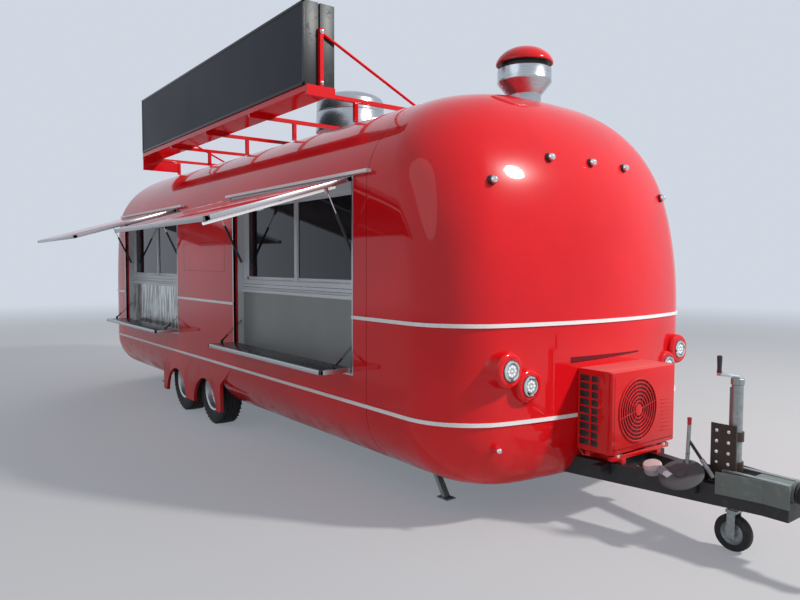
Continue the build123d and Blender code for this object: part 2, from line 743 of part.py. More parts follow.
# Chassis: two rails, and members between and outside them that stop just short of the rails
rail_top = FLOOR_TOP - FLOOR_T
rail_low = rail_top - RAIL_H
rails = []
for side in (1, -1):
    rails.append(box(RAIL_FRONT_X, RAIL_REAR_X, side * (RAIL_Y - RAIL_W / 2), side * (RAIL_Y + RAIL_W / 2), rail_low,
                     rail_top))
rail_in = RAIL_Y - RAIL_W / 2 - SEAT
rail_out = RAIL_Y + RAIL_W / 2 + SEAT
members = []
for x in (RAIL_FRONT_X - CROSS_MEMBER_IN, *CROSS_MEMBER_XS, RAIL_REAR_X + CROSS_MEMBER_IN):
    members.append(box(x - CROSS_MEMBER_W / 2, x + CROSS_MEMBER_W / 2, -rail_in, rail_in, rail_top - CROSS_MEMBER_H,
                       rail_top))
for side in (1, -1):
    for x in OUTRIGGER_XS:
        members.append(box(x - OUTRIGGER_W / 2, x + OUTRIGGER_W / 2, side * rail_out, side * OUTRIGGER_Y,
                           rail_top - OUTRIGGER_H, rail_top))
    for pivot_x, forward in STEADY_TABLE.values():
        face_y = STEADY_Y - STEADY_W / 2 - ARM_TO_BRACKET
        hanger = box(pivot_x - BRACKET_HALF, pivot_x + BRACKET_HALF, side * rail_out, side * face_y,
                     STEADY_PIVOT - BRACKET_HALF, rail_top)
        hanger += rod((pivot_x, side * face_y, up(STEADY_PIVOT)),
                      (pivot_x, side * (STEADY_Y + STEADY_W / 2 + ARM_TO_BRACKET), up(STEADY_PIVOT)), STEADY_PIN_R)
        members.append(hanger)
save("chassis_rails", group(*rails))
save("cross_members", group(*members))

# Axles: a beam with a trailing arm and a stub at each end
axles = []
drum_out = TYRE_IN - DRUM_TO_TYRE
drum_in = drum_out - DRUM_L
arm_y = drum_in + ARM_W / 3
beam_half = arm_y + ARM_W / 2
for axle_x in AXLE_XS.values():
    beam_x = axle_x + ARM_REACH
    beam_mid = rail_low - BEAM / 2
    axle = box(beam_x - BEAM / 2, beam_x + BEAM / 2, -beam_half, beam_half, beam_mid - BEAM / 2,
               beam_mid + BEAM / 2)
    for side in (1, -1):
        axle += bar((beam_x + 15, side * arm_y, up(beam_mid)), (axle_x - 20, side * arm_y, up(TYRE_R)), ARM_W, ARM_H)
        axle += rod((axle_x, side * drum_in, up(TYRE_R)), (axle_x, side * drum_out, up(TYRE_R)), DRUM_R)
        axle += rod((axle_x, side * drum_in, up(TYRE_R)), (axle_x, side * (TRACK_HALF + STUB_PAST_MIDDLE), up(TYRE_R)),
                    STUB_R)
    axles.append(axle)
save("axles", group(*axles))

# Wheels. Half profiles as (y, radius) from the bead outwards, mirrored for the other side
BEAD_SEAT = [(BEAD_HALF, BEAD_R), (BEAD_HALF + 10, BEAD_R + 10)]
TYRE_HALF = BEAD_SEAT + [
    (0.48 * TYRE_W, BEAD_R + 24), (0.5 * TYRE_W, BEAD_R + 70), (0.46 * TYRE_W, TYRE_R - 30),
    (0.38 * TYRE_W, TYRE_R - TREAD_DROP), (0.2 * TYRE_W, TYRE_R),
]
TYRE_PROFILE = [(-y, r) for y, r in TYRE_HALF] + TYRE_HALF[::-1]
# Rim profile as (y, radius) for the left side; y grows outwards
BORE = STUB_R + PIN_GAP
RIM_PROFILE = [
    (-BEAD_HALF, BEAD_R), (-BEAD_HALF - 10, BEAD_R + 10), (-BEAD_HALF - 16, BEAD_R + 10), (-76, BEAD_R - 8),
    (-40, BEAD_R - 22), (6, BEAD_R - 26), (24, BEAD_R - 60), (34, BEAD_R - 90), (22, HUB_R), (22, BORE), (36, BORE),
    (50, HUB_R - 20), (50, BEAD_R - 88), (40, BEAD_R - 50), (28, BEAD_R - 24), (60, BEAD_R - 14), (76, BEAD_R - 8),
    (BEAD_HALF + 16, BEAD_R + 10), (BEAD_HALF + 10, BEAD_R + 10), (BEAD_HALF, BEAD_R),
]
for place, axle_x in AXLE_XS.items():
    for side_name, side in (("left", 1), ("right", -1)):
        tyre = turned(TYRE_PROFILE, axle_x, side * TRACK_HALF)
        rim = turned([(side * y, r) for y, r in RIM_PROFILE], axle_x, side * TRACK_HALF)
        for i in range(BOLTS):
            angle = 2 * math.pi * (i + 0.25) / BOLTS
            x = axle_x + BOLT_CIRCLE_R * math.sin(angle)
            z = up(TYRE_R) + BOLT_CIRCLE_R * math.cos(angle)
            y0 = side * (TRACK_HALF + 40)
            rim += rod((x, y0, z), (x, y0 + side * BOLT_L, z), BOLT_R)
        save("tyre_" + place + "_" + side_name, group(tyre))
        save("rim_" + place + "_" + side_name, group(rim))

# Drawbar: two converging beams, cross tubes and a head block, open between the beams for the jockey wheel
pocket_x = JACK_X + JOCKEY_R + POCKET_CLEAR
pocket = box(pocket_x - POCKET_L, pocket_x, -POCKET_HALF, POCKET_HALF, 0, HOUSING_TOP + THROUGH)
drawbar = box(pocket_x - 5, HEAD_FRONT_X, -HEAD_HALF_W, HEAD_HALF_W, BEAM_TOP - BEAM_H, BEAM_TOP)
for side in (1, -1):
    drawbar += drawbar_beam(side)
drawbar -= pocket
for x, half in CROSS_TUBES.values():
    drawbar += box(x - CROSS_TUBE_H / 2, x + CROSS_TUBE_H / 2, -half, half, BEAM_TOP - CROSS_TUBE_H, BEAM_TOP)
drawbar -= box(BEAM_REAR_X - FAR, BEAM_REAR_X + 20, -FAR, FAR, -FAR, FAR)
save("drawbar", group(drawbar - group(*rails) - group(*members)))

# Overrun housing, bellows, and the coupling head with its ball socket
housing = box(HOUSING_REAR_X, HEAD_FRONT_X, -HEAD_HALF_W, HEAD_HALF_W, BEAM_TOP, HOUSING_TOP) - pocket
bellows_x = HEAD_FRONT_X + FLANGE_T
housing += rod((HEAD_FRONT_X, 0, 0), (bellows_x, 0, 0), FLANGE_R)
save("overrun_housing", group(housing))
bellows = rod((bellows_x, 0, 0), (BELLOWS_FRONT_X, 0, 0), BELLOWS_R)
fold_pitch = (BELLOWS_FRONT_X - bellows_x) / FOLDS
for i in range(FOLDS):
    start = bellows_x + fold_pitch * i
    bellows += rod((start + FOLD_GAP, 0, 0), (start + fold_pitch - FOLD_GAP, 0, 0), FOLD_R)
save("coupling_bellows", group(bellows))
head = rod((BELLOWS_FRONT_X, 0, 0), (BELLOWS_FRONT_X + FLANGE_T, 0, 0), BELLOWS_R)
head += bar((BELLOWS_FRONT_X + FLANGE_T / 2, 0, NECK_RISE), (NECK_END_X, 0, NECK_RISE), NECK_W, NECK_H)
head += Pos(0, 0, 2) * Cylinder(CUP_R, 2 * CUP_SINK + 4)
cup_top = box(-THROUGH, THROUGH, -THROUGH, THROUGH, BALL_HEIGHT, BALL_HEIGHT + THROUGH)
head += Pos(0, 0, CUP_SINK + 4) * Sphere(CUP_R) & cup_top
head -= Pos(0, 0, -BALL_R) * Cylinder(BALL_R, 2 * BALL_R)
head -= Sphere(BALL_R)
handle_z = NECK_H - 4
handle = bar((NECK_END_X, 0, handle_z), (NECK_END_X - HANDLE_L, 0, handle_z + HANDLE_RISE), HANDLE_W, HANDLE_T)
handle += box(NECK_END_X - 10, NECK_END_X + 12, -HANDLE_W / 2, HANDLE_W / 2, BALL_HEIGHT + 40, BALL_HEIGHT + 58)
save("coupling_head", group(head + handle))

# Round cover and plug holder on the beam, and the handbrake lever with its quadrant
cover = Pos(COVER_X, COVER_Y, up(BEAM_TOP + COVER_T / 2)) * Cylinder(COVER_R, COVER_T)
holder = Pos(HOLDER_X, HOLDER_Y, up(BEAM_TOP + HOLDER_H / 2)) * Cylinder(HOLDER_R, HOLDER_H)
plug_z = up(BEAM_TOP + PLUG_LIFT)
holder += rod((HOLDER_X + HOLDER_R - 8, HOLDER_Y - 10, plug_z), (HOLDER_X + HOLDER_R + PLUG_L, HOLDER_Y - 34, plug_z),
              PLUG_R)
save("drawbar_fittings", group(cover, holder - cover))
brake_low = BEAM_TOP + COVER_T
lever_y = BRAKE_Y - 12
brake = box(BRAKE_X - 10, BRAKE_X + 10, BRAKE_Y - 60, BRAKE_Y + QUADRANT_T, brake_low, brake_low + 10)
brake += box(BRAKE_X - QUADRANT_HALF, BRAKE_X + QUADRANT_HALF, BRAKE_Y - QUADRANT_T / 2, BRAKE_Y + QUADRANT_T / 2,
             brake_low, brake_low + QUADRANT_H)
brake += bar((BRAKE_X, lever_y, up(brake_low + 2)), (BRAKE_X + 10, lever_y, up(LEVER_TOP)), LEVER_W, LEVER_D)
brake += Pos(BRAKE_X + 12, lever_y, up(LEVER_TOP + KNOB_L / 2 - 9)) * Cylinder(KNOB_R, KNOB_L)
save("handbrake", group(brake))

# Jack: a plate on the cross tube, clamps, a tube with its crank, and the leg
tube_x = CROSS_TUBES["jack"][0]
plate_in = PLATE_Y + PLATE_T
plate = box(PLATE_REAR_X, PLATE_FRONT_X, PLATE_Y, plate_in, BEAM_TOP + 30, PLATE_TOP)
plate += box(tube_x, PLATE_FRONT_X, PLATE_Y, plate_in, BEAM_TOP, PLATE_NECK_TOP)
plate += box(tube_x - CROSS_TUBE_H / 2, tube_x + CROSS_TUBE_H / 2, PLATE_Y, -PLATE_Y / 2, BEAM_TOP,
             BEAM_TOP + PLATE_T)
for height in CLAMP_HEIGHTS:
    clamp = Pos(JACK_X, 0, up(height)) * Cylinder(CLAMP_R, CLAMP_H)
    clamp += box(JACK_X - CLAMP_R, PLATE_FRONT_X, PLATE_Y, 0, height - CLAMP_H / 2, height + CLAMP_H / 2)
    plate += clamp - Pos(JACK_X, 0, up(height)) * Cylinder(JACK_R, 2 * THROUGH)
save("jack_plate", group(plate))
tube_mid = up((JACK_TUBE_BOTTOM + JACK_TUBE_TOP) / 2)
tube_l = JACK_TUBE_TOP - JACK_TUBE_BOTTOM
jack_tube = Pos(JACK_X, 0, tube_mid) * Cylinder(JACK_R, tube_l)
jack_tube -= Pos(JACK_X, 0, tube_mid - JACK_WALL) * Cylinder(JACK_R - JACK_WALL, tube_l)
jack_tube += Pos(JACK_X, 0, up(JACK_TUBE_TOP + JACK_CAP_H / 2)) * Cylinder(JACK_CAP_R, JACK_CAP_H)
crank_z = up(JACK_TUBE_TOP + JACK_CAP_H + CRANK_T)
jack_tube += Pos(JACK_X, 0, crank_z - CRANK_T / 2) * Cylinder(JACK_WALL * 2, 2 * CRANK_T)
jack_tube += bar((JACK_X + CRANK_T, 0, crank_z), (JACK_X - CRANK_REACH, 0, crank_z), CRANK_W, CRANK_T)
jack_tube += Pos(JACK_X - CRANK_REACH + CRANK_W / 2, 0, crank_z + GRIP_L / 2) * Cylinder(GRIP_R, GRIP_L)
save("jack_tube", group(jack_tube))
bridge_low = 2 * JOCKEY_R + BRIDGE_CLEAR
leg_top = JACK_TUBE_BOTTOM + LEG_IN_TUBE
leg = Pos(JACK_X, 0, up((leg_top + bridge_low) / 2)) * Cylinder(LEG_R, leg_top - bridge_low)
leg += box(JACK_X - FORK_W / 2 - 8, JACK_X + FORK_W / 2 + 8, -FORK_HALF, FORK_HALF, bridge_low, bridge_low + BRIDGE_T)
for side in (1, -1):
    leg += box(JACK_X - FORK_W / 2, JACK_X + FORK_W / 2, side * (FORK_HALF - FORK_T), side * FORK_HALF,
               JOCKEY_R - FORK_W / 2, bridge_low + 1)
leg += rod((JACK_X, -FORK_HALF, up(JOCKEY_R)), (JACK_X, FORK_HALF, up(JOCKEY_R)), AXLE_PIN_R)
save("jack_leg", group(leg))
jockey = rod((JACK_X, -JOCKEY_W / 2, up(JOCKEY_R)), (JACK_X, JOCKEY_W / 2, up(JOCKEY_R)), JOCKEY_R)
jockey = fillet(jockey.edges().filter_by(GeomType.CIRCLE), JOCKEY_EDGE)
jockey -= rod((JACK_X, -JOCKEY_W, up(JOCKEY_R)), (JACK_X, JOCKEY_W, up(JOCKEY_R)), AXLE_PIN_R + PIN_GAP)
save("jockey_wheel", group(jockey))

# Steadies, lowered
for place, (pivot_x, forward) in STEADY_TABLE.items():
    for side_name, side in (("left", 1), ("right", -1)):
        foot_x = pivot_x + forward * STEADY_REACH
        foot_h = STEADY_FOOT_CLEAR + FOOT_T
        y = side * STEADY_Y
        eye_y0 = y - STEADY_W / 2
        eye_y1 = y + STEADY_W / 2
        steady = bar((pivot_x, y, up(STEADY_PIVOT)), (foot_x, y, up(foot_h)), STEADY_W, STEADY_H)
        steady += rod((pivot_x, eye_y0, up(STEADY_PIVOT)), (pivot_x, eye_y1, up(STEADY_PIVOT)), STEADY_EYE_R)
        steady -= box(foot_x - THROUGH, foot_x + THROUGH, y - THROUGH, y + THROUGH, foot_h - THROUGH, foot_h)
        steady += box(foot_x - FOOT_HALF_L, foot_x + FOOT_HALF_L, y - FOOT_HALF_W, y + FOOT_HALF_W,
                      STEADY_FOOT_CLEAR, foot_h)
        steady -= rod((pivot_x, y - STEADY_W, up(STEADY_PIVOT)), (pivot_x, y + STEADY_W, up(STEADY_PIVOT)),
                      STEADY_PIN_R + PIN_GAP)
        save("steady_" + place + "_" + side_name, group(steady))

# Air conditioner, on feet on two bars, which lie on two rails on the drawbar
ac = box(NOSE_X + TRIM_OUT + AC_TO_TRIM, AC_FRONT_X, -AC_W / 2, AC_W / 2, AC_BOTTOM, AC_BOTTOM + AC_H)
ac = fillet(ac.edges().filter_by(Axis.Z), AC_EDGE_R)
fan_mid = up(AC_BOTTOM + AC_H / 2)
ac += rod((AC_FRONT_X - FAN_OUT, FAN_Y, fan_mid), (AC_FRONT_X + FAN_OUT, FAN_Y, fan_mid), FAN_R)
save("ac_unit", group(ac))
foot_low = AC_BOTTOM - AC_FOOT_H
bar_low = foot_low - AC_BAR_H
bracket = None
for behind in AC_BARS:
    x = AC_FRONT_X - behind
    cross = box(x - AC_BAR_HALF_W, x + AC_BAR_HALF_W, -AC_BAR_HALF_L, AC_BAR_HALF_L, bar_low, foot_low)
    for side in (1, -1):
        y = side * AC_FOOT_Y
        cross += box(x - AC_FOOT_HALF, x + AC_FOOT_HALF, y - AC_FOOT_HALF, y + AC_FOOT_HALF, foot_low, AC_BOTTOM)
    bracket = cross if bracket is None else bracket + cross
for side in (1, -1):
    y = side * AC_RAIL_Y
    bracket += box(NOSE_X - 2 * THROUGH, AC_FRONT_X - AC_RAIL_FRONT, y - AC_RAIL_HALF_W, y + AC_RAIL_HALF_W, BEAM_TOP,
                   bar_low)
save("ac_bracket", group(bracket - outer))


def pod_on(y, height, out, radius, edge):
    """A round pod along X that stands out of the nose, rounded at its front."""
    x = nose_x(y, height)
    pod = rod((x - POD_IN, y, up(height)), (x + out, y, up(height)), radius)
    return fillet(pod.edges().filter_by(GeomType.CIRCLE).sort_by(Axis.X)[-1], edge)


# Lamps on the nose, marker lamps, the boss at the corner, and the rear lamps with a bare number plate
pods = []
tails = []
for side in (1, -1):
    for y, height, out, radius in LAMPS:
        pod = pod_on(side * y, height, out, radius, POD_EDGE)
        lens_x = nose_x(y, height) + out
        lens = rod((lens_x - 2 * LENS_OUT, side * y, up(height)), (lens_x + LENS_OUT, side * y, up(height)), LENS_R)
        pods.append((pod + lens) - outer)
        tails.append(Pos(2 * MID_X, 0, 0) * Rot(0, 0, 180) * (pod_on(-side * y, height, out, radius, POD_EDGE) - outer))
save("front_lamps", group(*pods))
markers = []
for y, height in MARKERS:
    markers.append(pod_on(y, height, MARKER_OUT, MARKER_R, MARKER_TIP) - outer)
boss_x = nose_x(BOSS_Y, BOSS_HEIGHT)
markers.append(rod((boss_x - POD_IN, BOSS_Y, up(BOSS_HEIGHT)), (boss_x + BOSS_OUT, BOSS_Y, up(BOSS_HEIGHT)), BOSS_R)
               - outer)
save("marker_lamps", group(*markers))
plate_low, plate_high = NUMBER_PLATE
tails.append(box(REAR_X - NUMBER_PLATE_OUT, REAR_X + THROUGH, -PLATE_HALF, PLATE_HALF, plate_low, plate_high) - outer)
save("rear_lamps", group(*tails))

# Sign box and the frame of tubes that carries it
sign_in = SIGN_OUT_Y + SIGN_DEPTH
save("sign_box", group(box(SIGN_FRONT_X, SIGN_REAR_X, SIGN_OUT_Y, sign_in, SIGN_BOTTOM, SIGN_TOP)))
tray_low = SIGN_BOTTOM - TRAY_H
frame = box(SIGN_FRONT_X + TUBE, SIGN_REAR_X - TUBE, SIGN_OUT_Y + TRAY_IN, sign_in - TRAY_IN, tray_low, SIGN_BOTTOM)
first_x = SIGN_FRONT_X + TUBE / 2
last_x = SIGN_REAR_X - TUBE / 2
frame_pitch = (first_x - last_x) / (FRAMES - 1)
tube_low = tray_low - TUBE
for i in range(FRAMES):
    x0 = first_x - frame_pitch * i - TUBE / 2
    x1 = x0 + TUBE
    frame += box(x0, x1, SIGN_OUT_Y + TRAY_IN, INNER_POST_Y + TUBE_PAST_POST, tube_low, tray_low)
    for post_y, foot in ((OUTER_POST_Y, OUTER_POST_FOOT), (INNER_POST_Y, BODY_TOP)):
        frame += box(x0, x1, post_y - TUBE / 2, post_y + TUBE / 2, foot, tray_low)
for x in (first_x, last_x):
    frame += box(x - TUBE / 2, x + TUBE / 2, END_POST_Y - TUBE / 2, END_POST_Y + TUBE / 2, tray_low, END_POST_TOP)
    frame += rod((x, END_POST_Y, up(END_POST_TOP - TUBE)), (x, BRACE_FOOT_Y, up(tray_low - TUBE / 2)), BRACE_R)
frame += box(last_x - TAIL_PLATE_T / 2, last_x + TAIL_PLATE_T / 2, SIGN_OUT_Y + TRAY_IN, OUTER_POST_Y,
             TAIL_PLATE_BOTTOM, tube_low)
save("sign_frame", group(frame))

# Roof vents
save("vent_front", group(lathe(VENT_FRONT, VENT_FRONT_X) - outer))
save("vent_rear", group(lathe(VENT_REAR, VENT_REAR_X) - outer))


def cabinet(x0, x1, y0, y1, h0, h1):
    """A closed cupboard of boards, hollow inside."""
    solid = box(x0, x1, y0, y1, h0, h1)
    x_low, x_high = sorted((x0, x1))
    board = KITCHEN_BOARD
    return solid - box(x_low + board, x_high - board, y0 + board, y1 - board, h0 + board, h1 - board)


# Kitchen units seen through the windows: counters, and on the far side a row with a hood and its duct
counter_y = FRAME_IN + 2
counters = [cabinet(COUNTER_FRONT_X, WHEEL_BAY_FRONT + COUNTER_TO_BAY, counter_y, COUNTER_IN_Y, FLOOR_TOP, COUNTER_TOP),
            cabinet(WHEEL_BAY_REAR - COUNTER_TO_BAY, SEAM_REAR_X + COUNTER_TO_SEAM, counter_y, COUNTER_IN_Y, FLOOR_TOP, COUNTER_TOP)]
save("kitchen_counter", group(*counters))
unit_back = HALF - WALL - 5
unit_front_x, unit_rear_x = UNIT_XS
plinth_top = FLOOR_TOP + PLINTH_H
units = cabinet(unit_front_x, unit_rear_x, UNIT_Y, unit_back, plinth_top, UNIT_TOP)
plinth = box(unit_front_x, unit_rear_x, UNIT_Y + PLINTH_IN, unit_back - 3 * PLINTH_IN, FLOOR_TOP, plinth_top)
plinth -= box(unit_front_x - KITCHEN_BOARD, unit_rear_x + KITCHEN_BOARD, UNIT_Y + PLINTH_IN + KITCHEN_BOARD,
              unit_back - 3 * PLINTH_IN - KITCHEN_BOARD, 0, BODY_TOP)
hood_low, hood_top = HOOD_HEIGHTS
hood = cabinet(HOOD_XS[0], HOOD_XS[1], HOOD_Y, HALF - WALL - HOOD_TO_WALL, hood_low, hood_top)
duct = box(DUCT_XS[0], DUCT_XS[1], DUCT_YS[0], DUCT_YS[1], hood_top, BODY_TOP) & inner
save("kitchen_units", group(units + plinth, hood + duct))
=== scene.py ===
# %% [markdown]
# # A food trailer, dressed
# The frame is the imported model: every node is already at its place, in metres, with the ball
# socket of the coupling at the origin. This lesson gives it a camera, finishes and light, and
# lays finer shapes over the solids that need them. Heights are written as one would measure
# them on the real trailer, from the ground, and up() turns such a height into the frame's z.

# %% Load the frame
import math
import bmesh
import bpy
from mathutils import Matrix, Vector


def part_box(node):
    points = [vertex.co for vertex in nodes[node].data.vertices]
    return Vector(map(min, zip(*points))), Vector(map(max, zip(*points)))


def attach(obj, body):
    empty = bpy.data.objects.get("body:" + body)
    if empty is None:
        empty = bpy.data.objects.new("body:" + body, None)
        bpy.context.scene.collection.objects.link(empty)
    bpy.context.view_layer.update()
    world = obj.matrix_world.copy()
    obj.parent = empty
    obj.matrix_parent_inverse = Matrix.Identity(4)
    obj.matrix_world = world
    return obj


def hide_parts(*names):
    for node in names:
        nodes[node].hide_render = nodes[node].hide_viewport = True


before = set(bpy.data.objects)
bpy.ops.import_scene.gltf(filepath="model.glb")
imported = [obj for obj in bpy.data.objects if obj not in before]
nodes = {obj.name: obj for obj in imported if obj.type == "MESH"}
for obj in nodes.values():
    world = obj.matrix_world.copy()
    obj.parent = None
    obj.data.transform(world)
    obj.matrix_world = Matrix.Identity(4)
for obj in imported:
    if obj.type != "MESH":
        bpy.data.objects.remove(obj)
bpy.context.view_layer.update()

BALL_HEIGHT = 0.4
GROUND = -BALL_HEIGHT


def up(height):
    """The z of a height above the ground."""
    return height - BALL_HEIGHT


# %% [markdown]
# ## Camera
# The photograph was taken at eye height, close to the front right corner. The camera could be
# placed by eye, but the trailer's own straight lines, such as its white strips and the sign,
# give its place and turn, so those are written here. A quaternion holds the turn, because yaw,
# dip and roll then need no order of angles.

# %% Camera
CAMERA_PLACE = Vector((1.1051, -3.6037, 1.1327))
CAMERA_YAW = math.radians(52.7044)
CAMERA_DOWN = math.radians(2.9559)
CAMERA_ROLL = math.radians(0.1619)
CAMERA_LENS = 30.508
camera = bpy.data.objects.new("camera", bpy.data.cameras.new("camera"))
bpy.context.scene.collection.objects.link(camera)
level = Vector((-math.sin(CAMERA_YAW), math.cos(CAMERA_YAW), 0))
ahead = level * math.cos(CAMERA_DOWN) - Vector((0, 0, math.sin(CAMERA_DOWN)))
roll = Matrix.Rotation(CAMERA_ROLL, 3, "Z").to_quaternion()
camera.rotation_mode = "QUATERNION"
camera.location = CAMERA_PLACE
camera.rotation_quaternion = ahead.to_track_quat("-Z", "Y") @ roll
camera.data.sensor_fit = "HORIZONTAL"
camera.data.sensor_width = 36
camera.data.lens = CAMERA_LENS
camera.data.clip_start = 0.05
camera.data.clip_end = 200
bpy.context.scene.camera = camera
bpy.context.scene.view_settings.view_transform = "Standard"
print("camera looks along", tuple(round(v, 3) for v in ahead))

# %% [markdown]
# ## Shader maths
# A material is a graph of nodes. Wiring each node by hand makes long code that hides the idea, so
# one small class wraps a socket: an expression such as 1 - mask * 0.5 then adds its Math nodes.
# The reflected forms let a plain number stand first.


# %% Sockets as numbers
class Socket:
    """An output socket that takes part in sums."""

    def __init__(self, finish, out):
        self.finish = finish
        self.out = out

    def math(self, operation, first, second):
        """Adds a Math node for two values."""
        return self.finish.node("ShaderNodeMath", {"operation": operation}, [first, second])

    def __add__(self, other):
        return self.math("ADD", self, other)

    def __radd__(self, other):
        return self.math("ADD", other, self)

    def __sub__(self, other):
        return self.math("SUBTRACT", self, other)

    def __rsub__(self, other):
        return self.math("SUBTRACT", other, self)

    def __mul__(self, other):
        return self.math("MULTIPLY", self, other)

    def __rmul__(self, other):
        return self.math("MULTIPLY", other, self)


print("a socket adds, subtracts and multiplies")

# %% [markdown]
# Every other node comes from one method. Its settings are made first, because some of them, such
# as the data type of a Mix node, change which sockets the node has.


# %% A tree of nodes
class Nodes:
    """A tree of shader nodes in the making."""

    def __init__(self, tree):
        self.tree = tree

    def feed(self, socket, value):
        """Links a socket to another one, or gives it a value."""
        if isinstance(value, Socket):
            self.tree.links.new(value.out, socket)
        elif socket.type == "RGBA":
            socket.default_value = (*value, 1)
        else:
            socket.default_value = value

    def node(self, kind, settings=None, values=None, output=0):
        """Adds a node: its settings first, then the values or links of its sockets."""
        added = self.tree.nodes.new(kind)
        for name, value in (settings or {}).items():
            setattr(added, name, value)
        named = values.items() if isinstance(values, dict) else enumerate(values or [])
        for key, value in named:
            self.feed(added.inputs[key], value)
        return Socket(self, added.outputs[output])


print("one method adds any node")

# %% [markdown]
# A finish is a material with its Principled shader. Its patterns read Object coordinates: the
# pieces sit at the origin unturned, so one pattern runs on from piece to piece, as a sprayed
# coat does over the seams of the real body.


# %% A finish and its patterns
class Finish(Nodes):
    """A material in the making, with its Principled shader."""

    def __init__(self, name):
        self.made = bpy.data.materials.new(name)
        self.made.use_nodes = True
        super().__init__(self.made.node_tree)
        self.shader = self.tree.nodes["Principled BSDF"]

    def point(self):
        """The point on the piece."""
        return self.node("ShaderNodeTexCoord", output="Object")

    def place(self):
        """The point's x, y and z, each as a number."""
        point = self.point()
        return [self.node("ShaderNodeSeparateXYZ", {}, [point], axis) for axis in "XYZ"]

    def noise(self, scale, detail=2, stretch=(1, 1, 1)):
        """Cloudy noise; a large stretch along an axis makes it short that way."""
        point = self.node("ShaderNodeMapping", {}, {"Vector": self.point(), "Scale": stretch})
        return self.node("ShaderNodeTexNoise", {}, {"Vector": point, "Scale": scale, "Detail": detail})

    def cells(self, scale):
        """A shade for each cell of a Voronoi pattern."""
        values = {"Vector": self.point(), "Scale": scale}
        colour = self.node("ShaderNodeTexVoronoi", {}, values, "Color")
        return self.node("ShaderNodeSeparateXYZ", {}, [colour])

    def ramp(self, value, low, high):
        """0 below low and 1 above high, with a smooth way between."""
        values = {"Value": value, "From Min": low, "From Max": high}
        return self.node("ShaderNodeMapRange", {"interpolation_type": "SMOOTHSTEP"}, values)

    def mix(self, share, first, second):
        """The first colour at share 0, the second at 1."""
        return self.node("ShaderNodeMix", {"data_type": "RGBA"}, {0: share, 6: first, 7: second}, 2)

    def bump(self, height, strength, distance=0.001):
        values = {"Height": height, "Strength": strength, "Distance": distance}
        return self.node("ShaderNodeBump", {}, values)

    def set(self, **values):
        """Sets the shader's sockets, named with _ for a space."""
        for name, value in values.items():
            self.feed(self.shader.inputs[name.replace("_", " ")], value)
        return self.made


print("finishes are ready to be made")

# %% [markdown]
# ## Gloss red
# The body is sprayed in one gloss red with a clear coat over it. A single flat colour would look
# like a toy, since real sheet is never quite flat and never quite clean: a broad, faint bump
# makes the reflections swim, and dust dulls the low parts. Faces that point up, such as the lid
# of the cooler, are made paler by a mask on the upward normal.

# %% Gloss red
RED = (0.76, 0.006, 0.011)
DEEP_RED = (0.64, 0.004, 0.008)
ROAD_DUST = (0.33, 0.26, 0.21)
UPWARD_PALE = (0.8, 0.42, 0.4)


def paint(name, colour, second, rough=0.22, coat=0.7, wave=0.16, pale_up=0.0):
    """Gloss paint over sheet metal, with dust towards the ground and, if pale_up, paler on faces that point
    up.
    """
    finish = Finish(name)
    height = finish.place()[2] - GROUND
    shade = finish.mix(finish.ramp(finish.noise(0.9, 3), 0.35, 0.65), colour, second)
    dust = finish.ramp(finish.noise(7, 5) - height * 0.8, 0.05, 0.5)
    dusty = finish.mix(dust * 0.12, shade, ROAD_DUST)
    if pale_up:
        facing = finish.node("ShaderNodeNewGeometry", output="Normal")
        facing_up = finish.node("ShaderNodeSeparateXYZ", {}, [facing], "Z")
        dusty = finish.mix(finish.ramp(facing_up, 0.8, 0.98) * pale_up, dusty, UPWARD_PALE)
    waves = finish.noise(1.6, 1) * 6 + finish.noise(260, 1) * 0.04
    return finish.set(Base_Color=dusty, Roughness=rough + dust * 0.3,
                      Coat_Weight=coat * (1 - dust * 0.6), Coat_Roughness=0.035,
                      Specular_IOR_Level=0.04, Normal=finish.bump(waves, wave, 0.004))


PAINT = paint("gloss_red", RED, DEEP_RED)
# A dark copy of the red: painted shade for the underside of the hatch panels, the depth of the fan and the
# strip on the nose; it also draws fine dark joint lines.
PAINT_SHADE_AND_LINES = paint("red_shade_and_lines", (0.16, 0.006, 0.012), (0.1, 0.004, 0.01), rough=0.4, coat=0.3)
AC_PAINT = paint("cooler_red", (0.7, 0.012, 0.014), (0.6, 0.008, 0.01), rough=0.34, coat=0.5,
                 wave=0.05, pale_up=0.3)
print(len(bpy.data.materials), "materials after the reds")

# %% [markdown]
# ## Bare metals
# Rails are anodised, vents are stainless sheet, and lamp rims are chrome. All three could be a
# plain metal with its own roughness, but the eye knows brushed metal by its fine lines, so noise
# is squeezed along one axis. Galvanised steel is another surface: grey crystals, partly matt,
# which cells of a Voronoi pattern give.

# %% Bare metals
FINE_LINES = 60


def metal(name, colour, rough, stretch, scale, amount):
    """Metal with fine brushing along one direction."""
    finish = Finish(name)
    lines = finish.noise(scale, 3, stretch)
    dark = tuple(c * 0.78 for c in colour)
    shade = finish.mix(finish.ramp(lines, 0.3, 0.7), dark, colour)
    return finish.set(Base_Color=shade, Metallic=1.0, Roughness=rough + (lines - 0.5) * amount)


def spangle(name, colour):
    """Hot-dip galvanised steel: grey crystals with matt patches."""
    finish = Finish(name)
    patch = finish.noise(9, 4)
    dark = tuple(c * 0.7 for c in colour)
    shade = finish.mix(finish.cells(70) * 0.6 + patch * 0.4, dark, colour)
    return finish.set(Base_Color=shade, Metallic=0.85, Roughness=0.38 + patch * 0.25)


SILVER = metal("anodised_silver", (0.6, 0.61, 0.63), 0.34, (1, FINE_LINES, FINE_LINES), 14, 0.12)
STAINLESS = metal("stainless", (0.58, 0.6, 0.63), 0.24, (1, 1, 50), 12, 0.2)
CHROME = metal("chrome", (0.86, 0.87, 0.88), 0.07, (1, 1, 1), 20, 0.03)
ZINC = spangle("galvanised", (0.4, 0.44, 0.44))
print(len(bpy.data.materials), "materials after the metals")
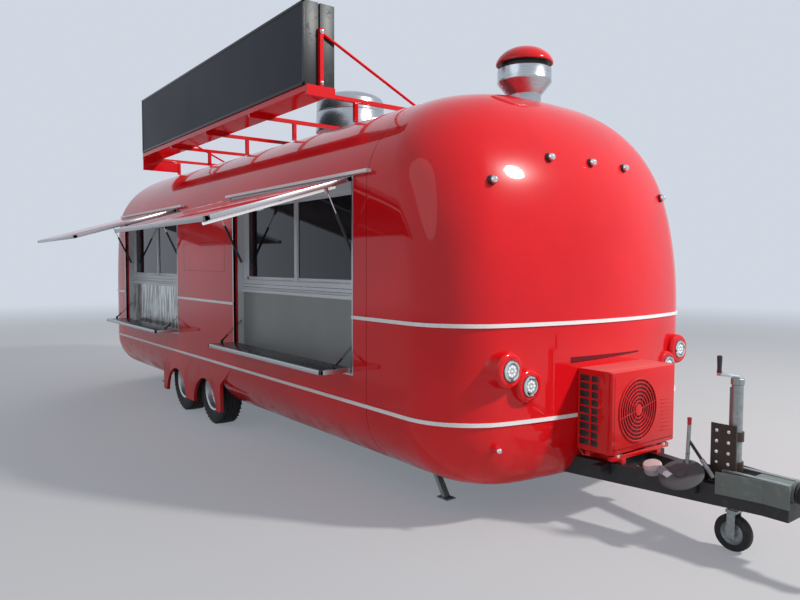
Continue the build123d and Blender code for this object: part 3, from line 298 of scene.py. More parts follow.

# %% [markdown]
# ## Enamels
# Chassis, coupling housing, sign case and jack plate wear plain paint. Their colour is nearly
# even, so what makes them real is wear: paler patches where the noise passes a limit. The
# chassis colour is dark paint with painted shade in it, made darker for the shadow under the body.


# %% Enamels
def enamel(name, colour, rough=0.45, grain=0.1):
    """Plain paint on frames and castings."""
    finish = Finish(name)
    worn = finish.ramp(finish.noise(24, 5), 0.52, 0.72)
    pale = tuple(min(1, c * 1.5 + 0.03) for c in colour)
    return finish.set(Base_Color=finish.mix(worn * 0.5, colour, pale), Roughness=rough + worn * 0.15,
                      Normal=finish.bump(finish.noise(180, 2), grain))


# The chassis colour is its dark paint darkened further: painted shade for the shadow under the body.
SHADED_DARK_STEEL = enamel("chassis_dark", (0.012, 0.013, 0.015))
HEAD_PAINT = enamel("coupling_grey_green", (0.14, 0.17, 0.16), 0.38)
SIGN_CASE = enamel("sign_case_slate", (0.014, 0.022, 0.025), 0.45)
PLATE_PAINT = enamel("jack_plate_brown", (0.035, 0.02, 0.014), 0.5, 0.3)
print(len(bpy.data.materials), "materials after the enamels")

# %% [markdown]
# ## Rubber and plastics
# Tyres, bellows and the cover on the drawbar are rubber, matt and dusty. The rest are moulded or
# powder-coated parts, which differ only in colour and gloss, so one function serves them all. A
# lamp's tube also glows a little: its light comes from the shader, and no lamp object is needed.


# %% Rubber and plastics
def rubber(name, colour):
    """Matt rubber with dust in patches."""
    finish = Finish(name)
    dust = finish.ramp(finish.noise(14, 4), 0.5, 0.8)
    shade = finish.mix(dust * 0.4, colour, (0.12, 0.11, 0.1))
    return finish.set(Base_Color=shade, Roughness=0.72 + dust * 0.15,
                      Normal=finish.bump(finish.noise(320, 2), 0.25))


def plastic(name, colour, rough=0.35, glow=0.0):
    """A moulded or powder-coated surface; glow makes it a lamp."""
    finish = Finish(name)
    soft = finish.noise(40, 3)
    pale = tuple(min(1, c * 1.12 + 0.01) for c in colour)
    shade = finish.mix(soft, colour, pale)
    if glow:
        finish.set(Emission_Color=shade, Emission_Strength=glow)
    return finish.set(Base_Color=shade, Roughness=rough + (soft - 0.5) * 0.12)


RUBBER = rubber("rubber", (0.018, 0.018, 0.02))
COVER_RUBBER = rubber("cover_rubber", (0.085, 0.09, 0.098))
BLACK_PLASTIC = plastic("black_plastic", (0.02, 0.02, 0.022), 0.42)
WHITE_FRAME = plastic("powder_white", (0.8, 0.86, 0.93), 0.32)
TRIM_WHITE = plastic("trim_white", (0.83, 0.84, 0.85), 0.22)
INSIDE_WALL = plastic("inside_wall", (0.2, 0.205, 0.21), 0.5)
WORKTOP = plastic("shelf_top_black", (0.025, 0.027, 0.03), 0.28)
LED_WHITE = plastic("led_white", (0.85, 0.88, 0.92), 0.3, 0.5)
print(len(bpy.data.materials), "materials after the plastics")

# %% [markdown]
# ## Glass, sign and boards
# Glass at a food hatch is tinted. Real refraction would be slow and noisy, so the panes are dark,
# very smooth, and partly clear through their alpha. The sign is composite sheet in a matt
# anthracite with a soft sheen. Of the two boards below the windows the front one is grey, and
# the rear one is a bright sheet with upright streaks; one finish that changes at a plane along
# the body serves both, because both are one node.

# %% Glass, sign and boards
BOARD_SPLIT = 5.0
STREAKS = (7, 1, 0.9)


def glass(name, colour, alpha):
    """Dark, smooth sheet that is partly clear."""
    finish = Finish(name)
    smear = finish.noise(5, 4)
    shade = finish.mix(smear, colour, tuple(c * 1.6 for c in colour))
    return finish.set(Base_Color=shade, Alpha=alpha, Coat_Weight=0.35, Specular_IOR_Level=0.22,
                      Roughness=0.03 + finish.ramp(smear, 0.6, 0.8) * 0.08)


def sign_face(name):
    """Matt composite sheet with a broad soft sheen."""
    finish = Finish(name)
    cloud = finish.noise(1.3, 2)
    shade = finish.mix(cloud, (0.009, 0.01, 0.019), (0.014, 0.016, 0.028))
    return finish.set(Base_Color=shade, Roughness=0.36 + cloud * 0.15, Specular_IOR_Level=0.2,
                      Normal=finish.bump(finish.noise(500, 1), 0.04))


def board_face(name):
    """A grey board in front of the split, a bright streaked one behind it."""
    finish = Finish(name)
    behind = finish.place()[0] * -1
    rear = finish.ramp(behind, BOARD_SPLIT, BOARD_SPLIT + 0.05)
    bright = finish.ramp(finish.noise(5, 4, STREAKS), 0.38, 0.62)
    cloudy = finish.mix(finish.noise(3, 3), (0.25, 0.27, 0.27), (0.34, 0.36, 0.36))
    sheet = finish.mix(bright, (0.2, 0.23, 0.23), (0.75, 0.78, 0.77))
    return finish.set(Base_Color=finish.mix(rear, cloudy, sheet), Roughness=0.34 - rear * 0.14,
                      Metallic=rear * 0.55)


GLASS = glass("tinted_glass", (0.008, 0.011, 0.015), 0.88)
SIGN = sign_face("sign_anthracite")
BOARD = board_face("board_faces")
print(len(bpy.data.materials), "materials after the glass and boards")

# %% [markdown]
# ## Making pieces
# A finer piece is many small shapes in one mesh, each with its own finish. They could be separate
# objects, but one mesh to a piece keeps the model short to list and quick to export. Each shape
# starts as a mesh of its own, so that an operator can work on all of it, and is then poured in.


# %% Shapes gathered in one mesh
class Gathered:
    """Shapes gathered in one mesh. Each shape names its finish."""

    def __init__(self, name, body="root"):
        self.name = name
        self.body = body
        self.mesh = bmesh.new()
        self.finishes = []

    def number(self, finish):
        """The place of a finish in the piece's own list."""
        if finish not in self.finishes:
            self.finishes.append(finish)
        return self.finishes.index(finish)

    def add(self, shape, finish, place=None):
        """Adds a shape, moved by place, and gives it its finish."""
        if place is not None:
            bmesh.ops.transform(shape, matrix=place, verts=shape.verts)
        for face in shape.faces:
            face.material_index = self.number(finish)
        passing = bpy.data.meshes.new("passing")
        shape.to_mesh(passing)
        shape.free()
        self.mesh.from_mesh(passing)
        bpy.data.meshes.remove(passing)
        return self


print("shapes can be gathered")

# %% [markdown]
# Blocks and bars are cubes, scaled and then bevelled. A bevel after the scale keeps every edge
# round equally wide. It is small, a millimetre or two, but without it no edge catches the light.


# %% Blocks and bars
def bevelled(shape, edges, width, rounds=2):
    """Rounds edges of a shape."""
    if width:
        bmesh.ops.bevel(shape, geom=edges, offset=width, segments=rounds, profile=0.5, affect="EDGES",
                        material=-1)


class Squared(Gathered):
    """Adds blocks and square bars."""

    def block(self, low, high, finish, edge=0.002, place=None, rounds=2):
        """A box between two corners with its edges rounded."""
        low, high = Vector(low), Vector(high)
        shape = bmesh.new()
        bmesh.ops.create_cube(shape, size=1)
        bmesh.ops.scale(shape, vec=[abs(s) for s in high - low], verts=shape.verts)
        bmesh.ops.translate(shape, vec=(low + high) / 2, verts=shape.verts)
        bevelled(shape, shape.edges[:], edge, rounds)
        return self.add(shape, finish, place)

    def bar(self, start, end, wide, high, finish, side=(0, 1, 0), edge=0.0015):
        """A square bar between two points; side is the direction of its width."""
        start, end = Vector(start), Vector(end)
        run = end - start
        shape = bmesh.new()
        bmesh.ops.create_cube(shape, size=1)
        bmesh.ops.scale(shape, vec=(wide, high, run.length), verts=shape.verts)
        bevelled(shape, shape.edges[:], edge)
        along_bar = run.normalized()
        across = along_bar.cross(Vector(side)).normalized()
        turn_to = Matrix((across.cross(along_bar), across, along_bar)).transposed().to_4x4()
        return self.add(shape, finish, Matrix.Translation((start + end) / 2) @ turn_to)


print("blocks and bars can be added")

# %% [markdown]
# Round parts come in two kinds. A rod or a lamp body is a cylinder between two points. All that
# was spun or moulded, such as a vent, a rim or a tyre, is a profile turned about an axis: the
# spin operator welds its last step to its first, and the normals are worked out again, since a
# spin may turn them inwards.


# %% Round shapes
class Rounded(Squared):
    """Adds round bars, bolts and turned shapes."""

    def tube(self, start, end, radius, finish, sides=24, edge=0, place=None):
        """A round bar between two points."""
        start, end = Vector(start), Vector(end)
        run = end - start
        shape = bmesh.new()
        bmesh.ops.create_cone(shape, cap_ends=True, segments=sides, radius1=radius, radius2=radius,
                              depth=run.length)
        rims = [e for e in shape.edges if any(len(f.verts) > 4 for f in e.link_faces)]
        bevelled(shape, rims, edge, 3)
        turn_to = run.to_track_quat("Z", "Y").to_matrix().to_4x4()
        between = Matrix.Translation((start + end) / 2) @ turn_to
        bmesh.ops.transform(shape, matrix=between, verts=shape.verts)
        return self.add(shape, finish, place)

    def turned(self, profile, finish, place, sides=48):
        """A shape turned about its Z axis from a profile of (radius, height)."""
        shape = bmesh.new()
        line = [shape.verts.new((radius, 0, height)) for radius, height in profile]
        for first, second in zip(line, line[1:]):
            shape.edges.new((first, second))
        bmesh.ops.spin(shape, geom=shape.verts[:] + shape.edges[:], cent=(0, 0, 0), axis=(0, 0, 1),
                       angle=2 * math.pi, steps=sides, use_merge=True)
        bmesh.ops.remove_doubles(shape, verts=shape.verts, dist=1e-6)
        bmesh.ops.recalc_face_normals(shape, faces=shape.faces)
        return self.add(shape, finish, place)

    def bolt(self, foot, out, radius, finish, height):
        """A hexagon head on a washer."""
        foot, out = Vector(foot), Vector(out)
        self.tube(foot, foot + out * height * 0.25, radius * 1.5, finish, 16)
        return self.tube(foot, foot + out * height, radius, finish, 6, radius * 0.12)


print("round shapes can be added")

# %% [markdown]
# A finished piece is smooth everywhere but at its hard edges, which are told by their angle, so
# broad faces stay smooth and corners stay crisp. It then rides on its body, and names the nodes
# that it stands in for.


# %% The finished piece
class Piece(Rounded):
    """A piece that can be finished and handed to its body."""

    def done(self, slot_name, replaced=(), sharp=35, modifiers=()):
        """Makes the object, marks its hard edges and gives it to its body."""
        for edge in self.mesh.edges:
            hard = len(edge.link_faces) == 2 and edge.calc_face_angle(0) > math.radians(sharp)
            edge.smooth = not hard
        for face in self.mesh.faces:
            face.smooth = True
        made = bpy.data.meshes.new(self.name)
        self.mesh.to_mesh(made)
        self.mesh.free()
        for finish in self.finishes:
            made.materials.append(finish)
        piece = bpy.data.objects.new(self.name, made)
        bpy.context.scene.collection.objects.link(piece)
        for kind, settings in modifiers:
            modifier = piece.modifiers.new(kind.title(), kind)
            for key, value in settings.items():
                setattr(modifier, key, value)
        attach(piece, self.body)
        if replaced:
            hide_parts(*replaced)
        print(self.name, len(made.polygons), "faces")
        return piece


QUARTERS = {"x": (90, "Y"), "-x": (-90, "Y"), "y": (-90, "X"), "-y": (90, "X"), "z": (0, "X")}


def along(axis, x, y, z):
    """Turns a shape's Z axis to a named one and moves it to a point."""
    angle, about = QUARTERS[axis]
    return Matrix.Translation((x, y, z)) @ Matrix.Rotation(math.radians(angle), 4, about)


print("pieces can be finished")

# %% [markdown]
# ## Body skin
# The shell is sheet bent over ribs: a bowed nose and tail, walls that lean in to a crowned roof,
# and a sill that curls under. Every one of these bends is a quarter of an ellipse that starts
# at some height, so one function of the height gives the outline anywhere from sill to roof.

# %% Outline of the body
NOSE_X = -1.44
REAR_X = -8.54
MID_X = (NOSE_X + REAR_X) / 2
HALF = 1.2
SERVICE_Y = -HALF
BOW_R = 3.6
CORNER_R = 0.45
CORNER_TOP_R = 0.3
BODY_BOTTOM = 0.245
BODY_TOP = 2.675
SILL_START = 0.625
SILL_END = 0.23
SILL_SIDE = 0.38
SILL_NOSE = 0.19
NOSE_START = 1.21
NOSE_IN = 0.75
SIDE_START = 2.0
SIDE_IN = 0.85


def quarter(height, start, end, depth):
    """How far a bend has come in at a height, along a quarter of an ellipse."""
    share = min(1, max(0, (height - start) / (end - start)))
    return depth * (1 - math.sqrt(1 - share**2))


def outline(height):
    """Half width, corner radius and nose x at a height above the ground."""
    side = quarter(height, SIDE_START, BODY_TOP, SIDE_IN)
    nose = quarter(height, NOSE_START, BODY_TOP, NOSE_IN)
    low_side = quarter(-height, -SILL_START, -SILL_END, SILL_SIDE)
    low_nose = quarter(-height, -SILL_START, -SILL_END, SILL_NOSE)
    corner = CORNER_R + (CORNER_TOP_R - CORNER_R) * side / SIDE_IN - low_side / 2
    return HALF - side - low_side, corner, NOSE_X - nose - low_nose


def nose_surface(y, height):
    """The x of the nose's outside at this y and height."""
    return outline(height)[2] - BOW_R + math.sqrt(BOW_R**2 - y**2)


print("half width", outline(1.0)[0], "below and", round(outline(2.6)[0], 3), "near the roof")

# %% [markdown]
# At one height the outline is a bowed nose, two round corners and two straight sides, mirrored
# for the tail. Its points are spaced by angle round the bends and evenly along the sides, and
# each ring has as many as the next, so that the faces between rings stay four-sided.

# %% One ring of points
CORNER_STEPS = 12
BOW_STEPS = 12
SIDE_STEPS = 28


def outline_points(height, inset=0):
    """One ring of points round the body at a height, drawn in by inset."""
    half, corner, front = [size - inset for size in outline(height)]
    bow = BOW_R - inset
    corner_y = half - corner
    bow_x = front - bow
    corner_x = bow_x + math.sqrt((bow - corner) ** 2 - corner_y**2)
    turn_at = math.asin(corner_y / (bow - corner))
    bend = []
    for i in range(CORNER_STEPS):
        angle = math.pi / 2 + (turn_at - math.pi / 2) * i / CORNER_STEPS
        bend.append((corner_x + corner * math.cos(angle), corner_y + corner * math.sin(angle)))
    for i in range(BOW_STEPS + 1):
        angle = turn_at * (1 - i / BOW_STEPS)
        bend.append((bow_x + bow * math.cos(angle), bow * math.sin(angle)))
    front_half = bend + [(x, -y) for x, y in bend[-2::-1]]
    rear_half = [(2 * MID_X - x, y) for x, y in front_half[::-1]]
    span = 2 * (corner_x - MID_X)
    sides = [corner_x - span * i / SIDE_STEPS for i in range(1, SIDE_STEPS)]
    ring = front_half + [(x, -half) for x in sides] + rear_half + [(x, half) for x in sides[::-1]]
    return [Vector((x, y, up(height))) for x, y in ring]


print("a ring has", len(outline_points(1.0)), "points")

# %% [markdown]
# The skin is pulled up ring by ring: an open edge is extruded, and each new ring is laid on the
# outline of its own height. Subdividing a rough box would be quicker, but its corners are hard to
# steer, and here the highlights run clean from sill to roof. Rings crowd together where the wall
# bends, so the curve needs no more smoothing.

# %% Rings of the skin
UNDER_LIP = 0.33
UPRIGHT_AT = 0.9
SILL_ANGLES = (66, 56, 46, 36, 27, 18, 9)
sill = SILL_START - SILL_END
lean = SIDE_START - NOSE_START
crown = BODY_TOP - SIDE_START
heights = [BODY_BOTTOM]
heights += [SILL_START - sill * math.sin(math.radians(a)) for a in SILL_ANGLES]
heights += [SILL_START, 0.92, NOSE_START]
heights += [NOSE_START + lean * i / 9 for i in range(1, 10)]
heights += [SIDE_START + crown * math.sin(math.radians(a)) for a in range(5, 91, 5)]


def flat_key(vert):
    """Where a point lies seen from above."""
    return round(vert.co.x, 6), round(vert.co.y, 6)


def whole_skin():
    """The outside of the body as one sheet, open below."""
    skin = bmesh.new()
    ring = [skin.verts.new(p) for p in outline_points(UPRIGHT_AT, UNDER_LIP)]
    for vert in ring:
        vert.co.z = up(BODY_BOTTOM)
    edges = [skin.edges.new((a, b)) for a, b in zip(ring, ring[1:] + ring[:1])]
    for height in heights:
        pulled = bmesh.ops.extrude_edge_only(skin, edges=edges)["geom"]
        edges = [g for g in pulled if isinstance(g, bmesh.types.BMEdge)]
        above = {flat_key(g): g for g in pulled if isinstance(g, bmesh.types.BMVert)}
        ring = [above[flat_key(v)] for v in ring]
        for vert, point in zip(ring, outline_points(height)):
            vert.co = point
    bmesh.ops.contextual_create(skin, geom=edges)
    bmesh.ops.recalc_face_normals(skin, faces=skin.faces)
    return skin


skin = whole_skin()
print("skin of", len(heights) + 1, "rings and", len(skin.faces), "faces")

# %% [markdown]
# The openings are where the real walls are cut: two hatches, the door and the wheel bays. A
# Boolean could cut them, but it leaves long thin faces on a curved wall that catch the light
# badly. Here the faces near each side of the opening are cut along a plane, and what then lies
# inside is taken out.

# %% Cut the openings
HATCHES = {"front": -2.565, "rear": -5.83}
OPENING_L = 1.86
OPENING_BOTTOM = 0.835
OPENING_TOP = 2.1
HINGE_ROOM = 0.007
DOOR_FRONT_X = -6.9
DOOR_REAR_X = -7.64
DOOR_BOTTOM = 0.4
DOOR_TOP = 2.09
AXLES = {"front": -5.13, "rear": -5.91}
TYRE_R = 0.32
TYRE_GAP = 0.045
PAST_WALL = 1.3


def cut_out(low, high):
    """Cuts the sheet along the sides of a box and takes out what is inside."""
    low, high = Vector(low), Vector(high)
    for axis, normal in ((0, Vector((1, 0, 0))), (2, Vector((0, 0, 1)))):
        for limit in (low[axis], high[axis]):
            touched = set()
            for face in skin.faces:
                least = [min(v.co[i] for v in face.verts) for i in range(3)]
                most = [max(v.co[i] for v in face.verts) for i in range(3)]
                if all(least[i] <= high[i] and most[i] >= low[i] for i in range(3)):
                    touched.update([face, *face.edges, *face.verts])
            bmesh.ops.bisect_plane(skin, geom=list(touched), dist=1e-6, plane_co=normal * limit,
                                   plane_no=normal)
    inside = []
    for face in skin.faces:
        middle = face.calc_center_median()
        if all(low[i] < middle[i] < high[i] for i in range(3)):
            inside.append(face)
    bmesh.ops.delete(skin, geom=inside, context="FACES")
    return len(inside)


taken = 0
for jamb in HATCHES.values():
    taken += cut_out((jamb - OPENING_L, -PAST_WALL, up(OPENING_BOTTOM - HINGE_ROOM)),
                     (jamb, -1.1, up(OPENING_TOP + HINGE_ROOM)))
taken += cut_out((DOOR_REAR_X, 1.0, up(DOOR_BOTTOM)), (DOOR_FRONT_X, PAST_WALL, up(DOOR_TOP)))
bay_rear = AXLES["rear"] - TYRE_R - TYRE_GAP
bay_front = AXLES["front"] + TYRE_R + TYRE_GAP
for low_y, high_y in ((-PAST_WALL, -0.6), (0.6, PAST_WALL)):
    taken += cut_out((bay_rear, low_y, up(0)), (bay_front, high_y, up(SILL_START)))
print(taken, "faces taken out for the openings")

# %% [markdown]
# The real body is three lengths of sheet with a fine gap at each seam, and the frame has a node
# for each. A copy of the skin is cut at the seams for each length. One Solidify modifier gives
# the wall its thickness inwards, with its own finish inside, and a small Bevel then catches the
# light at every cut edge.

# %% Three lengths of skin
WALL = 0.04
SEAM_FRONT_X = -2.4
SEAM_REAR_X = -7.8
SEAM_HALF = 0.002
SKIN_FINISH = (
    ("SOLIDIFY", {"thickness": WALL, "offset": -1, "use_even_offset": True, "material_offset": 1}),
    ("BEVEL", {"width": 0.003, "segments": 2, "limit_method": "ANGLE",
               "angle_limit": math.radians(50)}),
    ("WEIGHTED_NORMAL", {"keep_sharp": True, "mode": "FACE_AREA"}),
)
LENGTHS = {
    "shell_front": ((SEAM_FRONT_X + SEAM_HALF, "ahead"),),
    "shell_middle": ((SEAM_FRONT_X - SEAM_HALF, "behind"), (SEAM_REAR_X + SEAM_HALF, "ahead")),
    "shell_rear": ((SEAM_REAR_X - SEAM_HALF, "behind"),),
}
for name, planes in LENGTHS.items():
    part = skin.copy()
    for x, kept in planes:
        bmesh.ops.bisect_plane(part, geom=part.verts[:] + part.edges[:] + part.faces[:], dist=1e-6,
                               plane_co=(x, 0, 0), plane_no=(1, 0, 0),
                               clear_inner=kept == "ahead", clear_outer=kept == "behind")
    piece = Piece(name + "_skin")
    piece.add(part, PAINT)
    piece.number(INSIDE_WALL)
    piece.done("red_paint", [name], sharp=60, modifiers=SKIN_FINISH)
skin.free()

# %% [markdown]
# ## Plain nodes
# Where a solid's own shape is right, such as a rail, a panel or a stay, it keeps it and only gets
# a finish. Its mesh is left as it came: loose triangles that already point the right way.

# %% Finishes on the solids
plain = {
    PAINT: ("wheel_skirts", "entrance_door", "sign_frame"),
    TRIM_WHITE: ("trim_strips",),
    SILVER: ("door_hinges",),
    WHITE_FRAME: ("hatch_surrounds",),
    GLASS: ("window_glass",),
    BOARD: ("window_boards",),
    STAINLESS: ("kitchen_counter", "kitchen_units"),
    SHADED_DARK_STEEL: ("chassis_rails", "cross_members", "drawbar", "wheel_boxes"),
    ZINC: ("axles", "jack_leg", "coupling_head", "steady_front_left", "steady_front_right",
           "steady_rear_left", "steady_rear_right"),
    HEAD_PAINT: ("overrun_housing",),
    PLATE_PAINT: ("jack_plate",),
    INSIDE_WALL: ("floor",),
    BLACK_PLASTIC: ("strut_tubes_front", "strut_tubes_rear", "shelf_stays_front", "shelf_stays_rear"),
    CHROME: ("strut_rods_front", "strut_rods_rear"),
}
for finish, names in plain.items():
    for name in names:
        mesh = nodes[name].data
        mesh.materials.clear()
        mesh.materials.append(finish)
print(sum(len(names) for names in plain.values()), "nodes keep their shape")

# %% [markdown]
# ## Upper panels of the hatches
# Each hatch is two panels, and the upper one swings up on gas struts. It is a thin painted sheet
# in a frame of bright rails. It is built closed, flush with the wall, where every size is easy to
# check against the opening, and each of its shapes is then turned about the hinge line, which is
# easier than modelling on the slant.

# %% Sheets and rails of an upper panel
FLAP_OPEN = math.radians(73)
FLAP_BOTTOM = 1.078
PANEL_T = 0.03
SKIN_T = 0.012
RAIL_W = 0.034
MID_RAIL_W = 0.04
HINGE_R = 0.006
flap_low = up(FLAP_BOTTOM)
flap_top = up(OPENING_TOP)
flap_y = SERVICE_Y + PANEL_T
hinge = Vector((0, SERVICE_Y, flap_top))
swing = Matrix.Rotation(FLAP_OPEN, 4, Vector((-1, 0, 0)))
swing = Matrix.Translation(hinge) @ swing @ Matrix.Translation(-hinge)


def flap_sheets(flap, x0, x1):
    """The painted outer sheet, and inside the rails a darker red one, painted shade for the panel's
    underside.
    """
    lap = 0.004
    flap.block((x0 + lap, SERVICE_Y + 0.0008, flap_low + lap),
               (x1 - lap, SERVICE_Y + SKIN_T, flap_top - lap), PAINT, 0.001, swing)
    # The darker inner sheet is painted shade on the underside of the open panel.
    flap.block((x0 + RAIL_W, SERVICE_Y + SKIN_T, flap_low + RAIL_W),
               (x1 - RAIL_W, flap_y - 0.008, flap_top - RAIL_W), PAINT_SHADE_AND_LINES, 0.001, swing)


def flap_rails(flap, x0, x1):
    """Two end rails, a middle one behind the sheet, two long ones and the hinge pin."""
    start = (x0 + x1 - MID_RAIL_W) / 2
    uprights = ((x0, RAIL_W, SERVICE_Y), (x1 - RAIL_W, RAIL_W, SERVICE_Y),
                (start, MID_RAIL_W, SERVICE_Y + SKIN_T))
    for x, wide, outer_y in uprights:
        flap.block((x, outer_y, flap_low), (x + wide, flap_y, flap_top), SILVER, 0.002, swing)
    for z in (flap_low, flap_top - RAIL_W):
        flap.block((x0, SERVICE_Y, z), (x1, flap_y, z + RAIL_W), SILVER, 0.002, swing)
    flap.tube((x0, SERVICE_Y, flap_top), (x1, SERVICE_Y, flap_top), HINGE_R, SILVER, 16)


print("panel", round(flap_top - flap_low, 3), "m high, opened", round(math.degrees(FLAP_OPEN)), "degrees")

# %% [markdown]
# Below each end of a panel sits an eye for its gas strut. The front panel also carries a tube
# lamp that runs down from the hinge, on three clips, and a small round lamp. Both are set in far
# enough from the panel's end to clear the window surround when the hatch is closed.

# %% Eyes and lamps of an upper panel
EYE_IN = 0.0454
EYE_T = 0.008
EYE_OUT = 0.075
EYE_MID = 0.18
EYE_HALF = 0.014
TUBE_LAMP_IN = 0.08
ROUND_LAMP_IN = 0.125
ROUND_LAMP_DOWN = 0.62


def jambs(jamb):
    """The two ends of an opening, each with its direction inwards."""
    return (jamb, -1), (jamb - OPENING_L, 1)


def strut_eyes(flap, jamb):
    """A small plate at each end for the upper pin of a strut."""
    for end, inward in jambs(jamb):
        near = end + inward * EYE_IN
        flap.block((near, flap_y - 0.002, flap_top - EYE_MID - EYE_HALF),
                   (near + inward * EYE_T, SERVICE_Y + EYE_OUT, flap_top - EYE_MID + EYE_HALF),
                   SILVER, 0.0015, swing)


def flap_lamps(flap, x1):
    """The tube lamp on its clips, and the round lamp beside it."""
    x = x1 - TUBE_LAMP_IN
    y = flap_y + 0.013
    flap.tube((x, y, flap_top - 0.09), (x, y, flap_low + 0.012), 0.009, LED_WHITE, 20, place=swing)
    for z in (flap_top - 0.1, flap_top - 0.5, flap_low + 0.03):
        flap.block((x - 0.015, flap_y - 0.001, z - 0.012), (x + 0.015, flap_y + 0.006, z + 0.012),
                   BLACK_PLASTIC, 0.001, swing)
    x = x1 - ROUND_LAMP_IN
    z = flap_top - ROUND_LAMP_DOWN
    flap.tube((x, flap_y - 0.001, z), (x, flap_y + 0.03, z), 0.024, WHITE_FRAME, 24, 0.006, swing)


print("lamp tube", round(flap_top - flap_low - 0.102, 3), "m long")

# %% [markdown]
# With these helpers a panel is four lines. It replaces the solid of its hatch and rides on the
# same body, so it swings with the hinge joint of the frame.

# %% Upper panels
EDGE_GAP = 0.005
for place, jamb in HATCHES.items():
    x0, x1 = jamb - OPENING_L + EDGE_GAP, jamb - EDGE_GAP
    flap = Piece(f"hatch_{place}_panel", f"hatch_{place}")
    flap_sheets(flap, x0, x1)
    flap_rails(flap, x0, x1)
    strut_eyes(flap, jamb)
    if place == "front":
        flap_lamps(flap, x1)
    flap.done("red_paint", ["hatch_" + place])

# %% [markdown]
# ## Shelves
# The lower panel of a hatch folds out as a shelf: painted below, with a dark worktop in a bright
# edge. Slotted stays hold it level, and an ear near each end takes the stay's pin. It is flat and
# square, so it is made straight where it lies when open.

# %% Shelves
SHELF_DEPTH = 0.235
SHELF_SKIN_T = 0.012
SHELF_EDGE_W = 0.022
STAY_IN = 0.016
EAR_Y = SERVICE_Y - 0.12
EAR_HALF = 0.012
EAR_T = 0.006
PIN_UP = 0.045
shelf_low = up(OPENING_BOTTOM)
shelf_top = shelf_low + PANEL_T
shelf_y = SERVICE_Y - SHELF_DEPTH


def stay_ears(shelf, jamb):
    """An ear with its pin at each end, for the lower eye of a stay."""
    for end, inward in jambs(jamb):
        stay_x = end + inward * STAY_IN
        ear_x = stay_x + inward * 0.004
        pin_z = shelf_low + PIN_UP
        shelf.block((ear_x, EAR_Y - EAR_HALF, shelf_top - 0.001),
                    (ear_x + inward * EAR_T, EAR_Y + EAR_HALF, pin_z + EAR_HALF), BLACK_PLASTIC, 0.001)
        shelf.tube((stay_x - inward * 0.004, EAR_Y, pin_z), (ear_x + inward * 0.003, EAR_Y, pin_z),
                   0.004, CHROME, 12)


for place, jamb in HATCHES.items():
    x0, x1 = jamb - OPENING_L + EDGE_GAP, jamb - EDGE_GAP
    shelf = Piece(f"shelf_{place}_board", f"shelf_{place}")
    shelf.block((x0 + 0.003, shelf_y + 0.003, shelf_low), (x1 - 0.003, SERVICE_Y, shelf_low + SHELF_SKIN_T),
                PAINT, 0.001)
    shelf.block((x0 + 0.02, shelf_y + 0.02, shelf_low + SHELF_SKIN_T),
                (x1 - 0.02, SERVICE_Y, shelf_top - 0.001), WORKTOP, 0.001)
    shelf.block((x0, shelf_y, shelf_low), (x1, shelf_y + SHELF_EDGE_W, shelf_top), SILVER, 0.002)
    for x in (x0, x1 - SHELF_EDGE_W):
        shelf.block((x, shelf_y, shelf_low), (x + SHELF_EDGE_W, SERVICE_Y, shelf_top), SILVER, 0.002)
    shelf.tube((x0, SERVICE_Y, shelf_low), (x1, SERVICE_Y, shelf_low), HINGE_R, SILVER, 16)
    stay_ears(shelf, jamb)
    shelf.done("red_paint", ["shelf_" + place])

# %% [markdown]
# ## Windows
# Behind each hatch two sliding panes sit in a white frame over a ledge. A real frame is extruded
# bar with mitred joints. A frame cut from one sheet would lose the steps between its bars, so
# each bar is a block of its own, and the rounding of the blocks is what shows.

# %% Frame of a window
REVEAL = 0.095
FRAME_T = 0.04
FRAME_SIDE = 0.055
SURROUND_W = 0.04
MULLION_HALF = 0.0225
SILL_LOW = 1.297
SILL_TOP = 1.405
HEAD_LOW = 2.03
FRAME_TOP = 2.127
frame_out_y = SERVICE_Y + REVEAL
frame_in_y = frame_out_y + FRAME_T


def window_bars(windows, far, jamb):
    """Sill, head, two ends and the middle bar."""
    x0, x1 = far - SURROUND_W, jamb + SURROUND_W
    middle = (far + jamb) / 2
    for low, high in ((SILL_LOW, SILL_TOP), (HEAD_LOW, FRAME_TOP)):
        windows.block((x0, frame_out_y, up(low)), (x1, frame_in_y, up(high)), WHITE_FRAME, 0.004)
    ends = ((x0, far + FRAME_SIDE), (middle - MULLION_HALF, middle + MULLION_HALF),
            (jamb - FRAME_SIDE, x1))
    for start, end in ends:
        windows.block((start, frame_out_y + 0.002, up(SILL_TOP) - 0.01),
                      (end, frame_in_y, up(HEAD_LOW) + 0.01), WHITE_FRAME, 0.004)


print("window", round(HEAD_LOW - SILL_TOP, 3), "m of light high")

# %% [markdown]
# Each pane has a thin sash of its own inside the frame, and below the panes a ledge stands out
# over two dark grooves. The sash lies a little deeper than the frame, because the panes slide
# behind it.

# %% Sashes and ledge
SASH_W = 0.026
SASH_IN = 0.012
LEDGE_OUT = 0.022
GROOVE_H = 0.003


def sash(windows, start, end):
    """Four thin bars round a pane."""
    out_y = frame_out_y + SASH_IN
    in_y = frame_in_y - 0.006
    low, high = up(SILL_TOP), up(HEAD_LOW)
    for x in (start, end - SASH_W):
        windows.block((x, out_y, low), (x + SASH_W, in_y, high), WHITE_FRAME, 0.002)
    for z in (low, high - SASH_W):
        windows.block((start, out_y, z), (end, in_y, z + SASH_W), WHITE_FRAME, 0.002)


def ledge(windows, far, jamb):
    """The ledge below the panes, and the two grooves of the sill."""
    windows.block((far + 0.001, frame_out_y - LEDGE_OUT, up(SILL_LOW)),
                  (jamb - 0.001, frame_out_y + 0.004, up(SILL_LOW) + SASH_W), WHITE_FRAME, 0.003)
    for groove in (1.34, 1.366):
        windows.block((far + 0.002, frame_out_y - 0.001, up(groove)),
                      (jamb - 0.002, frame_out_y + 0.004, up(groove) + GROOVE_H), BLACK_PLASTIC, 0)


print("sash bars", SASH_W, "m wide")

